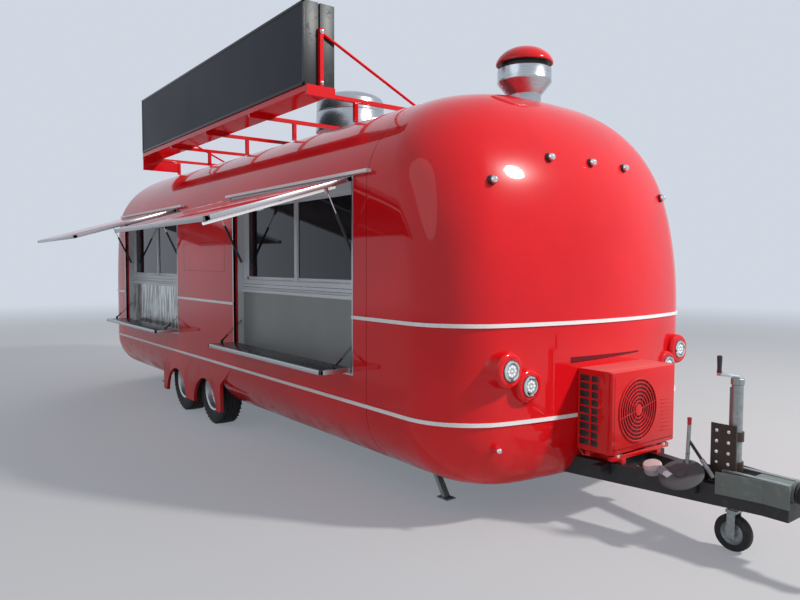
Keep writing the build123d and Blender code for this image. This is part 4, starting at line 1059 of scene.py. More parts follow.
# %% [markdown]
# Round three sides of each opening a narrow bright strip covers the cut edge of the wall. It
# stands out by little more than two millimetres, enough for a line of light. Between the two
# hatches a shallow panel shows as a fine dark line on the wall, which four thin bars draw.

# %% Windows, edge strips and the wall panel's line
STRIP_W = 0.014
STRIP_OUT = 0.0025
PANEL_X = (-5.63, -4.62)
PANEL_HEIGHTS = (1.47, 1.735)
LINE_W = 0.0025


def edge_strips(strips, far, jamb):
    """The bright strip beside and below an opening."""
    out_y, in_y = SERVICE_Y - STRIP_OUT, SERVICE_Y + 0.02
    low, high = up(OPENING_BOTTOM - HINGE_ROOM), up(OPENING_TOP + HINGE_ROOM)
    for x in (jamb, far - STRIP_W):
        strips.block((x, out_y, low - STRIP_W), (x + STRIP_W, in_y, high), SILVER, 0.001)
    strips.block((far, out_y, low - STRIP_W), (jamb, in_y, low), SILVER, 0.001)


windows = Piece("window_frame_bars")
strips = Piece("opening_edge_strips")
for jamb in HATCHES.values():
    far = jamb - OPENING_L
    window_bars(windows, far, jamb)
    sash(windows, far + FRAME_SIDE, (far + jamb) / 2)
    sash(windows, (far + jamb) / 2, jamb - FRAME_SIDE)
    ledge(windows, far, jamb)
    edge_strips(strips, far, jamb)
wall_lines = Piece("wall_panel_outline")
line_y = (SERVICE_Y - 0.0006, SERVICE_Y + 0.002)
low, high = [up(height) for height in PANEL_HEIGHTS]
for x in PANEL_X:
    wall_lines.block((x, line_y[0], low), (x + LINE_W, line_y[1], high), PAINT_SHADE_AND_LINES, 0)
for z in (low, high):
    wall_lines.block((PANEL_X[0], line_y[0], z), (PANEL_X[1], line_y[1], z + LINE_W), PAINT_SHADE_AND_LINES, 0)
wall_lines.done("red_paint")
windows.done("frame_white", ["window_frames"])
strips.done("frame_white")

# %% [markdown]
# ## Air conditioner
# The split unit on the drawbar is painted with the trailer. Its fan sits off the middle behind
# rings of wire on thin spokes. A real grille is one welded part; here each ring is turned and
# each spoke is a bar, and a dark red disc close behind them is painted shade for the depth of the fan.

# %% Fan grille
AC_BACK_MORE = 0.022
FAN_OUT = 0.008
FAN_Y = -0.07
FAN_R = 0.19
RINGS = 8
RING_PITCH = 0.0225
SPOKES = 8
ac_low, ac_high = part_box("ac_unit")
ac_low.x -= AC_BACK_MORE
case_front = ac_high.x - FAN_OUT
fan_z = (ac_low.z + ac_high.z) / 2
fan_place = along("x", case_front, FAN_Y, fan_z)
fan_rim = FAN_R - 0.004


def fan_grille(unit):
    """The disc of painted shade behind the fan's wires, the rings, the hub and the spokes."""
    # A dark red disc: painted shade for the depth behind the grille.
    unit.turned([(0, 0.0012), (fan_rim, 0.0012), (fan_rim, 0.0)], PAINT_SHADE_AND_LINES, fan_place)
    for i in range(RINGS):
        radius = fan_rim - i * RING_PITCH
        wire = 0.0042 if i else 0.006
        eighths = [k * math.pi / 4 for k in range(9)]
        ring = [(radius + wire * math.cos(a), 0.0045 + wire * 0.75 * math.sin(a)) for a in eighths]
        unit.turned(ring, AC_PAINT, fan_place)
    unit.tube((case_front, FAN_Y, fan_z), (case_front + 0.0075, FAN_Y, fan_z), 0.034, AC_PAINT, 32, 0.002)
    hub = Vector((case_front + 0.0035, FAN_Y, fan_z))
    for i in range(SPOKES):
        angle = 2 * math.pi * i / SPOKES + 0.2
        tip = Vector((0, math.cos(angle), math.sin(angle)))
        unit.bar(hub + tip * 0.03, hub + tip * (FAN_R - 0.006), 0.004, 0.004, AC_PAINT, (1, 0, 0), 0.0008)


print("fan", 2 * FAN_R, "m across")

# %% [markdown]
# Beside the fan the front has a few fine ribs, and a drawn line marks its cover. The side towards
# the hatches is a grid of slots in two columns. Cutting each slot would cost many faces, so the
# slots are dark blocks, painted shade for the dark inside that an open slot shows, with rounded
# edges that stand out by a millimetre, each with one fin.

# %% Ribs, slots and cover line
RIBS = 9
RIB_PITCH = 0.024
ROWS = 9
SLOT_PITCH = 0.0475
SLOT_H = 0.039
SLOT_COLUMNS = ((0.018, 0.09), (0.1, 0.15))
COVER_LINE_IN = 0.022
COVER_LINE_W = 0.004
case_side = ac_low.y + 0.004


def front_ribs(unit):
    """Fine ribs beside the fan."""
    for i in range(RIBS):
        z = fan_z - 0.16 + i * RIB_PITCH
        unit.bar((case_front + 0.0005, 0.17, z), (case_front + 0.0005, ac_high.y - 0.03, z), 0.003, 0.006,
                 AC_PAINT, (1, 0, 0), 0.001)


def side_slots(unit):
    """Two columns of dark slots, painted shade for openings, each slot with a fin across it."""
    for start, end in SLOT_COLUMNS:
        x0, x1 = ac_low.x + start, ac_low.x + end
        for row in range(ROWS):
            z = ac_low.z + 0.034 + row * SLOT_PITCH
            # Each slot is a black block: painted shade for the dark inside of the unit.
            unit.block((x0, case_side - 0.0012, z), (x1, case_side + 0.004, z + SLOT_H), BLACK_PLASTIC, 0.003)
            unit.bar((x0 + 0.008, case_side - 0.0016, z + 0.006),
                     (x1 - 0.008, case_side - 0.0016, z + SLOT_H - 0.008), 0.003, 0.002, SHADED_DARK_STEEL,
                     (0, 1, 0), 0)
    unit.block((ac_low.x + 0.004, ac_low.y + 0.002, ac_low.z + 0.03),
               (ac_low.x + 0.016, ac_low.y + 0.006, ac_high.z - 0.03), AC_PAINT, 0.001)


def cover_line(unit):
    """The line of the front cover, up one side and along the bottom."""
    y, z = ac_low.y + COVER_LINE_IN, ac_low.z + 0.03
    unit.block((case_front - 0.002, y, z), (case_front + 0.0006, y + COVER_LINE_W, ac_high.z - 0.03),
               PAINT_SHADE_AND_LINES, 0)
    unit.block((case_front - 0.002, y, z), (case_front + 0.0006, ac_high.y - COVER_LINE_IN, z + COVER_LINE_W),
               PAINT_SHADE_AND_LINES, 0)


print(2 * ROWS, "slots in the side")

# %% [markdown]
# The case is two blocks: the body of the unit and a front cover that laps over it, with larger
# rounds than the small parts have.

# %% Air conditioner
unit = Piece("air_conditioner")
unit.block((ac_low.x, ac_low.y + 0.004, ac_low.z), (case_front - 0.02, ac_high.y, ac_high.z), AC_PAINT,
           0.01, rounds=3)
unit.block((case_front - 0.03, ac_low.y, ac_low.z + 0.004), (case_front, ac_high.y, ac_high.z - 0.004),
           AC_PAINT, 0.009, rounds=3)
fan_grille(unit)
front_ribs(unit)
side_slots(unit)
cover_line(unit)
unit.done("red_paint", ["ac_unit"])

# %% [markdown]
# The unit stands on a welded bracket: two cross bars on two long ones, with pale rubber feet and a
# bolt at each corner. Bars are enough, since the welds are too small to see.

# %% Bracket of the air conditioner
FOOT_H = 0.01
CROSS_BAR_H = 0.027
FEET_Y = 0.235
LONG_BAR_Y = 0.18
bracket_low, bracket_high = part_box("ac_bracket")
bar_top = bracket_high.z - FOOT_H
bar_low = bar_top - CROSS_BAR_H
PALE_RUBBER = plastic("pale_rubber", (0.6, 0.57, 0.5), 0.6)
bracket = Piece("cooler_bracket")
for x in (-1.235, -1.395):
    bracket.block((x - 0.017, bracket_low.y, bar_low), (x + 0.017, bracket_high.y, bar_top), PAINT, 0.002)
    for y in (-FEET_Y, FEET_Y):
        bracket.tube((x, y, bar_top - 0.012), (x, y, bracket_high.z), 0.021, PALE_RUBBER, 20, 0.003)
        bracket.bolt((x + 0.012, y + 0.03, bar_top), (0, 0, 1), 0.006, ZINC, 0.007)
for y in (-LONG_BAR_Y, LONG_BAR_Y):
    bracket.block((-1.54, y - 0.02, bracket_low.z), (bracket_high.x, y + 0.02, bar_low), PAINT, 0.002)
bracket.done("red_paint", ["ac_bracket"])

# %% [markdown]
# ## Lamps
# Two round lamps a side look out of red pods blended into the nose. The blend could be a Boolean
# with a fillet, but a pod that flares like a trumpet as it goes back, and starts inside the skin,
# is trimmed by the wall itself and reads as one pressed sheet with it.

# %% Lamp pods
POD_ROUND = 0.024
POD_FLARE = 0.085
POD_ROOT = 0.17
POD_STEPS = 8


def pod(piece, face, out, radius):
    """A round-nosed pod that widens towards its root."""
    back = out - POD_ROUND
    nose_round = []
    for i in range(POD_STEPS):
        angle = math.pi / 2 * i / POD_STEPS
        reach = radius - POD_ROUND * (1 - math.sin(angle))
        nose_round.append((reach, out - POD_ROUND * (1 - math.cos(angle))))
    flare = []
    for i in range(POD_STEPS + 1):
        share = i / POD_STEPS
        flare.append((radius + POD_FLARE * share**2, back - (back + POD_ROOT) * share))
    piece.turned([(0, out)] + nose_round + flare + [(0, -POD_ROOT)], PAINT, face)


print("pods widen by", POD_FLARE, "m on their way back")

# %% [markdown]
# In the pod sits a wide chrome ring in a black seal, and in the ring a bowl. The head lamps have a
# ring of small emitters under a clear lens, the tail lamps one coloured lens.

# %% Rings and emitters
BOWL_R = 0.04
RING_W = 0.0195
SEAL_W = 0.005
LENS_OUT = 0.012
EMITTERS = 8
EMITTER_R = 0.0075
EMITTER_REACH = 0.026
LAMP_BOWL = metal("lamp_bowl", (0.3, 0.33, 0.32), 0.3, (1, 1, 1), 30, 0.1)
LENS_GLASS = glass("lens_glass", (0.5, 0.52, 0.54), 0.35)


def lamp_ring(piece, face, out, bowl):
    """The chrome ring, the seal round it and the bowl or lens inside."""
    ring = BOWL_R + RING_W
    seal = ring + SEAL_W
    piece.turned([(BOWL_R, out - 0.002), (BOWL_R + 0.001, out + 0.006), (BOWL_R + 0.006, out + LENS_OUT),
                  (BOWL_R + 0.014, out + LENS_OUT - 0.001), (ring, out + 0.004), (ring, out - 0.002)],
                 CHROME, face)
    piece.turned([(ring, out + 0.002), (seal, out + 0.0015), (seal, out - 0.002)], BLACK_PLASTIC, face)
    piece.turned([(0, out + 0.001), (BOWL_R, out + 0.001), (BOWL_R, out + 0.008),
                  (BOWL_R - 0.004, out + 0.002)], bowl, face)


def emitters(piece, face, out):
    """A ring of emitters round a middle one, and the clear lens over them."""
    ahead_of = face.to_3x3() @ Vector((0, 0, 0.006))
    for i in range(EMITTERS + 1):
        angle = 2 * math.pi * i / EMITTERS
        reach = EMITTER_REACH if i < EMITTERS else 0
        foot = face @ Vector((reach * math.cos(angle), reach * math.sin(angle), out))
        piece.tube(foot, foot + ahead_of, EMITTER_R, LED_WHITE, 14, 0.002)
    piece.turned([(0, out + 0.0095), (BOWL_R * 0.6, out + 0.0088), (BOWL_R, out + 0.006),
                  (BOWL_R, out + 0.004), (0, out + 0.004)], LENS_GLASS, face)


print("lamps", round(2 * (BOWL_R + RING_W), 3), "m across")

# %% [markdown]
# Above the cooler a narrow strip of painted shade runs across the nose and narrows to one side.
# It follows the bow, so it is drawn as a row of short bars on the nose's surface.

# %% Head lamps and tail lamps
LAMPS = ((0.853, 0.947, 0.058, 0.103), (0.703, 0.848, 0.032, 0.096))
SHADE_STRIP_ENDS = (-0.375, 0.296)
SHADE_STRIP_HEIGHTS = (0.972, 0.978)
SHADE_STRIP_THICK = (0.034, 0.008)
SHADE_STRIP_STEPS = 12
SHADE_STRIP_T = 0.003
PLATE_HALF = 0.26
PLATE_HEIGHTS = (0.7, 0.82)
AMBER = plastic("amber_lens", (0.85, 0.3, 0.02), 0.15)
RED_LENS = plastic("red_lens", (0.55, 0.008, 0.01), 0.12)
PLATE_BLANK = plastic("plate_blank", (0.8, 0.8, 0.78), 0.4)


def between(ends, share):
    """The value a share of the way from one end to the other."""
    return ends[0] + (ends[1] - ends[0]) * share


head_lamps = Piece("nose_lamps")
tail_lamps = Piece("tail_lamps")
for y, height, out, radius in LAMPS:
    x = nose_surface(y, height)
    for side in (1, -1):
        face = along("x", x, side * y, up(height))
        pod(head_lamps, face, out, radius)
        lamp_ring(head_lamps, face, out, LAMP_BOWL)
        emitters(head_lamps, face, out)
        face = along("-x", 2 * MID_X - x, side * y, up(height))
        pod(tail_lamps, face, out, radius)
        lamp_ring(tail_lamps, face, out, RED_LENS if y > 0.8 else AMBER)
# The dark red strip above the cooler is painted shade.
for i in range(SHADE_STRIP_STEPS):
    share = i / SHADE_STRIP_STEPS
    height = between(SHADE_STRIP_HEIGHTS, share)
    ends = []
    for y, past in ((between(SHADE_STRIP_ENDS, share), -0.001), (between(SHADE_STRIP_ENDS, share + 1 / SHADE_STRIP_STEPS), 0.001)):
        ends.append((nose_surface(y, height) + 0.0002, y + past, up(height)))
    head_lamps.bar(*ends, SHADE_STRIP_T, between(SHADE_STRIP_THICK, share), PAINT_SHADE_AND_LINES, (1, 0, 0), 0)
head_lamps.done("lamp_red", ["front_lamps"])
low, high = [up(height) for height in PLATE_HEIGHTS]
tail_lamps.block((REAR_X - 0.014, -PLATE_HALF, low), (REAR_X + 0.01, PLATE_HALF, high), PLATE_BLANK, 0.003)
tail_lamps.done("lamp_red", ["rear_lamps"])

# %% [markdown]
# Five chrome bullets on black collars are the marker lamps high on the nose, and one on a red stem
# sticks out low at the corner. The black of the collars is also painted shade for the dark side of
# each marker. Each is a turned profile whose foot is sunk in the skin, so the curve of the nose
# needs no cutting.

# %% Marker lamps
MARKERS = ((0, 2.186), (0.375, 2.186), (-0.375, 2.186), (0.845, 2.016), (-0.845, 2.016))
BULLET = [(0, 0.045), (0.008, 0.0444), (0.015, 0.0415), (0.0195, 0.036), (0.0222, 0.028), (0.023, 0.018),
          (0.023, -0.03), (0, -0.03)]
COLLAR_AND_SHADE = [(0.023, 0.02), (0.0255, 0.019), (0.0275, 0.012), (0.028, -0.03), (0.023, -0.03)]
STEM_Y = -0.9
STEM_HEIGHT = 0.499
STEM = [(0, 0.03), (0.016, 0.03), (0.02, 0.026), (0.026, -0.09), (0, -0.09)]
KNOB = [(0, 0.055), (0.008, 0.0535), (0.014, 0.048), (0.017, 0.04), (0.015, 0.028), (0, 0.028)]
markers = Piece("chrome_markers")
for y, height in MARKERS:
    face = along("x", nose_surface(y, height), y, up(height))
    markers.turned(BULLET, CHROME, face, 24)
    # The black collar is partly painted shade, for the dark side of the marker.
    markers.turned(COLLAR_AND_SHADE, BLACK_PLASTIC, face, 24)
face = along("x", nose_surface(STEM_Y, STEM_HEIGHT), STEM_Y, up(STEM_HEIGHT))
markers.turned(STEM, PAINT, face, 28)
markers.turned(KNOB, CHROME, face, 24)
markers.done("lamp_red", ["marker_lamps"])

# %% [markdown]
# ## Vents
# The vents on the roof are spun sheet, so each is a profile turned about an upright axis. The
# front one is a funnel under a red cap. Its neck and the underside of the cap are black: painted
# shade for the dark room behind the rim, which reads better than an open shell seen from below would.

# %% Front vent
VENT_FRONT_X = -2.2
FUNNEL = [(0, 2.6), (0.116, 2.6), (0.116, 2.71), (0.12, 2.718), (0.183, 2.797), (0.186, 2.802),
          (0.188, 2.806), (0.188, 2.814), (0.186, 2.818), (0.186, 2.89), (0.183, 2.894), (0, 2.894)]
NECK_SHADE = [(0, 2.89), (0.155, 2.89), (0.155, 2.928), (0, 2.928)]
CAP_SHADE = [(0, 2.926), (0.19, 2.9265), (0.19, 2.93), (0, 2.93)]
CAP = [(0, 2.928), (0.19, 2.928), (0.197, 2.93), (0.198, 2.934), (0.198, 2.94), (0.193, 2.954),
       (0.184, 2.97), (0.17, 2.987), (0.152, 3.003), (0.13, 3.018), (0.105, 3.03), (0.075, 3.039),
       (0.04, 3.044), (0, 3.046)]


def spun(vent, profile, x, finish, sides):
    """Turns a profile of (radius, height above the ground) on the middle line of the roof."""
    vent.turned([(radius, up(height)) for radius, height in profile], finish, along("z", x, 0, 0), sides)


front_vent = Piece("front_vent")
spun(front_vent, FUNNEL, VENT_FRONT_X, STAINLESS, 64)
spun(front_vent, CAP, VENT_FRONT_X, PAINT, 64)
# Black neck and cap underside: painted shade for the dark room behind the rim.
spun(front_vent, NECK_SHADE, VENT_FRONT_X, BLACK_PLASTIC, 64)
spun(front_vent, CAP_SHADE, VENT_FRONT_X, BLACK_PLASTIC, 64)
front_vent.done("stainless", ["vent_front"])

# %% [markdown]
# The rear vent is a wide stainless drum with a soft shoulder and one seam round its wall. The
# brushed finish runs round it, as the marks of spinning do.

# %% Rear vent
VENT_REAR_X = -4.42
DRUM = [(0, 2.6), (0.15, 2.6), (0.15, 2.78), (0.322, 2.785), (0.328, 2.79), (0.328, 2.795), (0.326, 2.83),
        (0.322, 2.96), (0.32, 2.963), (0.32, 2.972), (0.322, 2.975), (0.32, 3.06), (0.315, 3.08),
        (0.299, 3.102), (0.265, 3.123), (0.215, 3.141), (0.15, 3.153), (0.08, 3.159), (0, 3.16)]
rear_vent = Piece("rear_vent")
spun(rear_vent, DRUM, VENT_REAR_X, STAINLESS, 72)
rear_vent.done("stainless", ["vent_rear"])

# %% [markdown]
# ## Sign
# The sign is a shallow case of folded sheet: two trays back to back, with a groove down each end
# where they meet, and a bare face set inside a narrow rim. Two blocks with a dark one between
# them give the groove, and four thin bars the rim.

# %% Sign box
GROOVE = 0.012
FACE_IN = 0.004
RIM = 0.022
RIM_T = 0.01
sign_low, sign_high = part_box("sign_box")
mid_y = (sign_low.y + sign_high.y) / 2
face_y = sign_low.y + FACE_IN
sign = Piece("sign_case")
for low_y, high_y in ((face_y, mid_y - GROOVE / 2), (mid_y + GROOVE / 2, sign_high.y)):
    sign.block((sign_low.x, low_y, sign_low.z), (sign_high.x, high_y, sign_high.z), SIGN_CASE, 0.003)
sign.block((sign_low.x + 0.02, mid_y - GROOVE, sign_low.z + 0.01),
           (sign_high.x - 0.02, mid_y + GROOVE, sign_high.z - 0.004), BLACK_PLASTIC, 0.001)
sign.block((sign_low.x + RIM, face_y - 0.001, sign_low.z + RIM),
           (sign_high.x - RIM, face_y + 0.002, sign_high.z - RIM), SIGN, 0)
for z in (sign_low.z, sign_high.z - RIM):
    sign.block((sign_low.x, sign_low.y, z), (sign_high.x, sign_low.y + RIM_T, z + RIM), BLACK_PLASTIC, 0.002)
for x in (sign_low.x, sign_high.x - RIM):
    sign.block((x, sign_low.y, sign_low.z), (x + RIM, sign_low.y + RIM_T, sign_high.z), BLACK_PLASTIC, 0.002)
sign.done("sign_dark", ["sign_box"])

# %% [markdown]
# At each end the sign hangs on an upright of its red frame by two bolts. They are a piece of
# their own, since the frame keeps its solid.

# %% Bolts of the sign
BOLT_Y = -1.015
BOLT_PAST_SIGN = 0.03
bolts = Piece("sign_frame_bolts")
for x, way in ((sign_high.x + BOLT_PAST_SIGN, 1), (sign_low.x - BOLT_PAST_SIGN, -1)):
    bolts.bolt((x, BOLT_Y, up(3.226)), (way, 0, 0), 0.011, CHROME, 0.014)
    bolts.bolt((x, BOLT_Y, up(2.86)), (way, 0, 0), 0.009, CHROME, 0.012)
bolts.done("rod_bright")

# %% [markdown]
# ## Tyres
# The tyres carry road tread. A ring of full blocks, each bevelled, would be heavy, so the tyre is
# turned with its long grooves, and each tread bar is one thin block laid on the shoulder. Only
# half of the profile is written, and the other half is its mirror image.

# %% A tyre
SHOULDER = [(0.068, 0.178), (0.078, 0.188), (0.0905, 0.203), (0.0945, 0.235), (0.0945, 0.26),
            (0.088, 0.288), (0.075, 0.3085)]
CROWN = [(0.058, 0.3165), (0.055, 0.3165), (0.055, 0.3095), (0.047, 0.3095), (0.047, 0.3185),
         (0.023, 0.3193), (0.023, 0.3115), (0.015, 0.3115), (0.015, 0.3195)]
TREAD_BARS = 40
TREAD_SPAN = (0.058, 0.081)
TREAD_HALF = 0.004
half_tyre = SHOULDER + CROWN
tyre_profile = [(r, -w) for w, r in half_tyre] + [(r, w) for w, r in half_tyre[::-1]]
tyre_profile.append(tyre_profile[0])


def turn_share(out, share):
    """A place turned by a share of a full turn about its axis."""
    return out @ Matrix.Rotation(2 * math.pi * share, 4, "Z")


def tyre(wheel, out):
    """Turns the tyre and lays its tread bars."""
    piece = Piece(f"tyre_{wheel}_tread", "wheel_" + wheel)
    piece.turned(tyre_profile, RUBBER, out, 48)
    for i in range(TREAD_BARS):
        spin = turn_share(out, i / TREAD_BARS)
        for side in (1, -1):
            piece.block((0.305, -TREAD_HALF, side * TREAD_SPAN[0]),
                        (0.3175, TREAD_HALF, side * TREAD_SPAN[1]), RUBBER, 0, spin)
    piece.done("tyre", ["tyre_" + wheel])


print("tyre", 2 * TYRE_R, "m across,", len(tyre_profile), "points round")

# %% [markdown]
# ## Rims
# A pressed steel rim is a ring with a dished disc, ten round holes near its edge, five nuts and a
# hub cap. The disc and ring are one turned profile; the holes are dark discs laid on it, painted
# shade for the dark inside that real holes show, and at this size they cannot be told from holes.

# %% A rim
RIM_PROFILE = [(0.178, -0.068), (0.188, -0.078), (0.188, -0.084), (0.17, -0.076), (0.156, -0.04),
               (0.152, 0.006), (0.122, 0.022), (0.09, 0.032), (0.064, 0.03), (0.062, 0.022),
               (0.0324, 0.022), (0.0324, 0.036), (0.042, 0.05), (0.07, 0.053), (0.09, 0.05),
               (0.128, 0.04), (0.15, 0.03), (0.156, 0.034), (0.164, 0.06), (0.17, 0.076),
               (0.188, 0.084), (0.188, 0.078), (0.178, 0.068)]
HUB_CAP = [(0, 0.0), (0.041, 0.0), (0.041, 0.05), (0.036, 0.066), (0.02, 0.071), (0, 0.072)]
CAP_SCALE = Matrix.Diagonal((0.72, 0.72, 0.5, 1))
NUTS = 5
NUT_CIRCLE = 0.05
HOLES = 10
HOLE_CIRCLE = 0.118


def rim(wheel, out):
    """Turns the rim, and sets its hub cap, nuts and holes."""
    piece = Piece(f"rim_{wheel}_disc", "wheel_" + wheel)
    piece.turned(RIM_PROFILE, SILVER, out, 48)
    piece.turned(HUB_CAP, CHROME, out @ Matrix.Translation((0, 0, 0.036)) @ CAP_SCALE, 32)
    for i in range(NUTS):
        spin = turn_share(out, (i + 0.25) / NUTS)
        piece.tube((NUT_CIRCLE, 0, 0.045), (NUT_CIRCLE, 0, 0.065), 0.0085, ZINC, 6, 0.001, spin)
    # Dark discs for the holes: painted shade.
    for i in range(HOLES):
        spin = turn_share(out, i / HOLES)
        piece.tube((HOLE_CIRCLE, 0, 0.041), (HOLE_CIRCLE, 0, 0.0435), 0.0125, BLACK_PLASTIC, 18, place=spin)
    piece.done("rim", ["rim_" + wheel])


print("rim of", len(RIM_PROFILE), "points,", NUTS, "nuts and", HOLES, "holes")

# %% [markdown]
# Four wheels are four calls. Each is turned to face out from its own side of the trailer, and it
# rides on its own wheel body, so that it spins with its joint.

# %% Four wheels
TRACK_HALF = 1.03
for place, axle_x in AXLES.items():
    for side_name, side, axis in (("left", 1, "y"), ("right", -1, "-y")):
        out = along(axis, axle_x, side * TRACK_HALF, up(TYRE_R))
        tyre(f"{place}_{side_name}", out)
        rim(f"{place}_{side_name}", out)

# %% [markdown]
# ## Jack
# The jack is a galvanised tube with a crank on top, the nearest part to the eye beside the
# coupling. The tube is open below, where the leg slides in it, so its profile goes up the outside
# and down the inside. The crank is an arm with a waisted grip, which is turned too.

# %% Jack
JACK_X = -0.655
TUBE_BOTTOM = up(0.425)
TUBE_TOP = up(0.905)
BORE_R = 0.026
GRIP_IN = 0.101
jack_wall = [(BORE_R, TUBE_BOTTOM), (0.03, TUBE_BOTTOM), (0.03, TUBE_TOP - 0.004), (0.034, TUBE_TOP),
             (0.034, TUBE_TOP + 0.028), (0.031, TUBE_TOP + 0.031), (0, TUBE_TOP + 0.031),
             (0, TUBE_TOP - 0.01), (BORE_R, TUBE_TOP - 0.01), (BORE_R, TUBE_BOTTOM)]
crank_z = TUBE_TOP + 0.04
grip_x = JACK_X - GRIP_IN
GRIP = [(0, 0.004), (0.0105, 0.004), (0.0135, 0.01), (0.0115, 0.03), (0.0125, 0.06), (0.0138, 0.09),
        (0.0125, 0.1), (0, 0.1035)]
jack = Piece("jack_tube_and_crank")
jack.turned(jack_wall, ZINC, along("z", JACK_X, 0, 0), 40)
jack.block((JACK_X - 0.036, -0.012, TUBE_BOTTOM + 0.04), (JACK_X - 0.026, 0.012, TUBE_TOP - 0.02),
           HEAD_PAINT, 0.002)
jack.tube((JACK_X, 0, TUBE_TOP + 0.028), (JACK_X, 0, crank_z + 0.006), 0.009, CHROME, 20)
jack.bar((JACK_X + 0.02, 0, crank_z), (grip_x - 0.01, 0, crank_z), 0.028, 0.018, CHROME, edge=0.005)
jack.tube((grip_x, 0, crank_z), (grip_x, 0, crank_z + 0.006), 0.011, ZINC, 20)
jack.turned(GRIP, BLACK_PLASTIC, along("z", grip_x, 0, crank_z), 24)
jack.done("galvanised", ["jack_tube"])

# %% [markdown]
# A dark plate clamps the jack to the drawbar with two columns of bolts. Under it runs the jockey
# wheel, a solid rubber tyre on a pressed hub, which spins on a body of its own.

# %% Jack plate bolts and jockey wheel
BOLT_COLUMNS = (-0.735, -0.67)
BOLT_ROWS = 4
BOLT_PITCH = 0.058
plate_low, plate_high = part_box("jack_plate")
plate_bolts = Piece("jack_plate_bolts")
for x in BOLT_COLUMNS:
    for row in range(BOLT_ROWS):
        plate_bolts.bolt((x, plate_low.y, up(0.475 + row * BOLT_PITCH)), (0, -1, 0), 0.006, CHROME, 0.008)
plate_bolts.done("galvanised")
JOCKEY_R = 0.1
SOLID_TYRE = [(0.062, -0.022), (0.088, -0.025), (0.096, -0.021), (0.0999, -0.012), (0.0999, 0.012),
              (0.096, 0.021), (0.088, 0.025), (0.062, 0.022), (0.062, -0.022)]
HUB = [(0.0084, -0.025), (0.022, -0.025), (0.026, -0.008), (0.05, -0.006), (0.062, -0.018),
       (0.062, 0.018), (0.05, 0.006), (0.026, 0.008), (0.022, 0.025), (0.0084, 0.025), (0.0084, -0.025)]
jockey = Piece("jockey_wheel_solid", "jockey_wheel")
for profile, finish in ((SOLID_TYRE, RUBBER), (HUB, ZINC)):
    jockey.turned(profile, finish, along("y", JACK_X, 0, up(JOCKEY_R)), 48)
jockey.done("bellows_rubber", ["jockey_wheel"])

# %% [markdown]
# ## Handbrake
# The handbrake is a steel lever with a red knob, a toothed quadrant that it locks in, and a short
# strut to the rod below. The quadrant starts as a ring of points, near and far in turn for the
# teeth, and its one face is then extruded to a plate.

# %% Quadrant of the handbrake
TEETH = 9
TOOTH_ROOT = 0.07
TOOTH_TIP = 0.078
FIRST_TOOTH = 14
TOOTH_SWEEP = 118
FLATTENED = 0.72
QUADRANT_T = 0.008


def quadrant():
    """A plate with a toothed upper edge."""
    points = [(-0.055, 0.0), (0.055, 0.0)]
    for i in range(TEETH * 2 + 1):
        angle = math.radians(FIRST_TOOTH + TOOTH_SWEEP * i / (TEETH * 2))
        reach = TOOTH_TIP if i % 2 else TOOTH_ROOT
        points.append((reach * math.cos(angle) * FLATTENED, reach * math.sin(angle)))
    shape = bmesh.new()
    face = shape.faces.new([shape.verts.new((x, -QUADRANT_T / 2, z)) for x, z in points])
    thick = bmesh.ops.extrude_face_region(shape, geom=[face])["geom"]
    moved = [g for g in thick if isinstance(g, bmesh.types.BMVert)]
    bmesh.ops.translate(shape, vec=(0, QUADRANT_T, 0), verts=moved)
    bmesh.ops.recalc_face_normals(shape, faces=shape.faces)
    return shape


print(TEETH, "teeth over", TOOTH_SWEEP, "degrees")

# %% [markdown]
# The lever stands on a foot beside the quadrant, leans forward a little and ends in its knob. A
# dark strut goes down from it to a bright sleeve, and two pins hold them.

# %% Handbrake
BEAM_TOP = 0.37
COVER_T = 0.014
LEVER_X = -0.86
LEVER_Y = -0.107
STRUT_Y = -0.101
LEVER_TOP = 0.665
foot_z = up(BEAM_TOP + COVER_T)
pin_z = up(0.572)
KNOB_PROFILE = [(0, 0.0), (0.009, 0.0), (0.0115, 0.006), (0.0105, 0.02), (0.0125, 0.034), (0.011, 0.04),
                (0, 0.043)]
RED_KNOB = plastic("red_knob", (0.5, 0.015, 0.02), 0.3)
brake = Piece("handbrake_lever")
brake.block((-0.88, -0.155, foot_z), (LEVER_X, -0.087, foot_z + 0.01), SHADED_DARK_STEEL, 0.001)
brake.bar((-0.87, LEVER_Y, foot_z + 0.002), (LEVER_X, LEVER_Y, up(LEVER_TOP)), 0.012, 0.02, ZINC, edge=0.003)
brake.turned(KNOB_PROFILE, RED_KNOB, along("z", LEVER_X, LEVER_Y, up(LEVER_TOP - 0.003)), 24)
brake.add(quadrant(), BLACK_PLASTIC, Matrix.Translation((-0.87, -0.095, foot_z)))
brake.bar((-0.745, STRUT_Y, up(0.43)), (-0.862, STRUT_Y, pin_z), 0.008, 0.016, SHADED_DARK_STEEL, edge=0.001)
brake.bar((-0.72, STRUT_Y, up(0.4)), (-0.79, STRUT_Y, up(0.485)), 0.012, 0.024, ZINC, edge=0.003)
brake.tube((-0.862, LEVER_Y - 0.01, pin_z), (-0.862, -0.094, pin_z), 0.008, ZINC, 16)
brake.tube((-0.867, LEVER_Y - 0.014, up(0.5)), (-0.867, -0.088, up(0.5)), 0.006, ZINC, 16)
brake.done("chassis_dark", ["handbrake"])

# %% [markdown]
# ## Cover and plug holder
# On the drawbar lies a round rubber cover, tipped towards the service side, and behind it the
# trailer's plug sits in a holder with a pale lid. Each is turned, and a tilted matrix lays it on
# its slant, so that the profile itself stays simple.

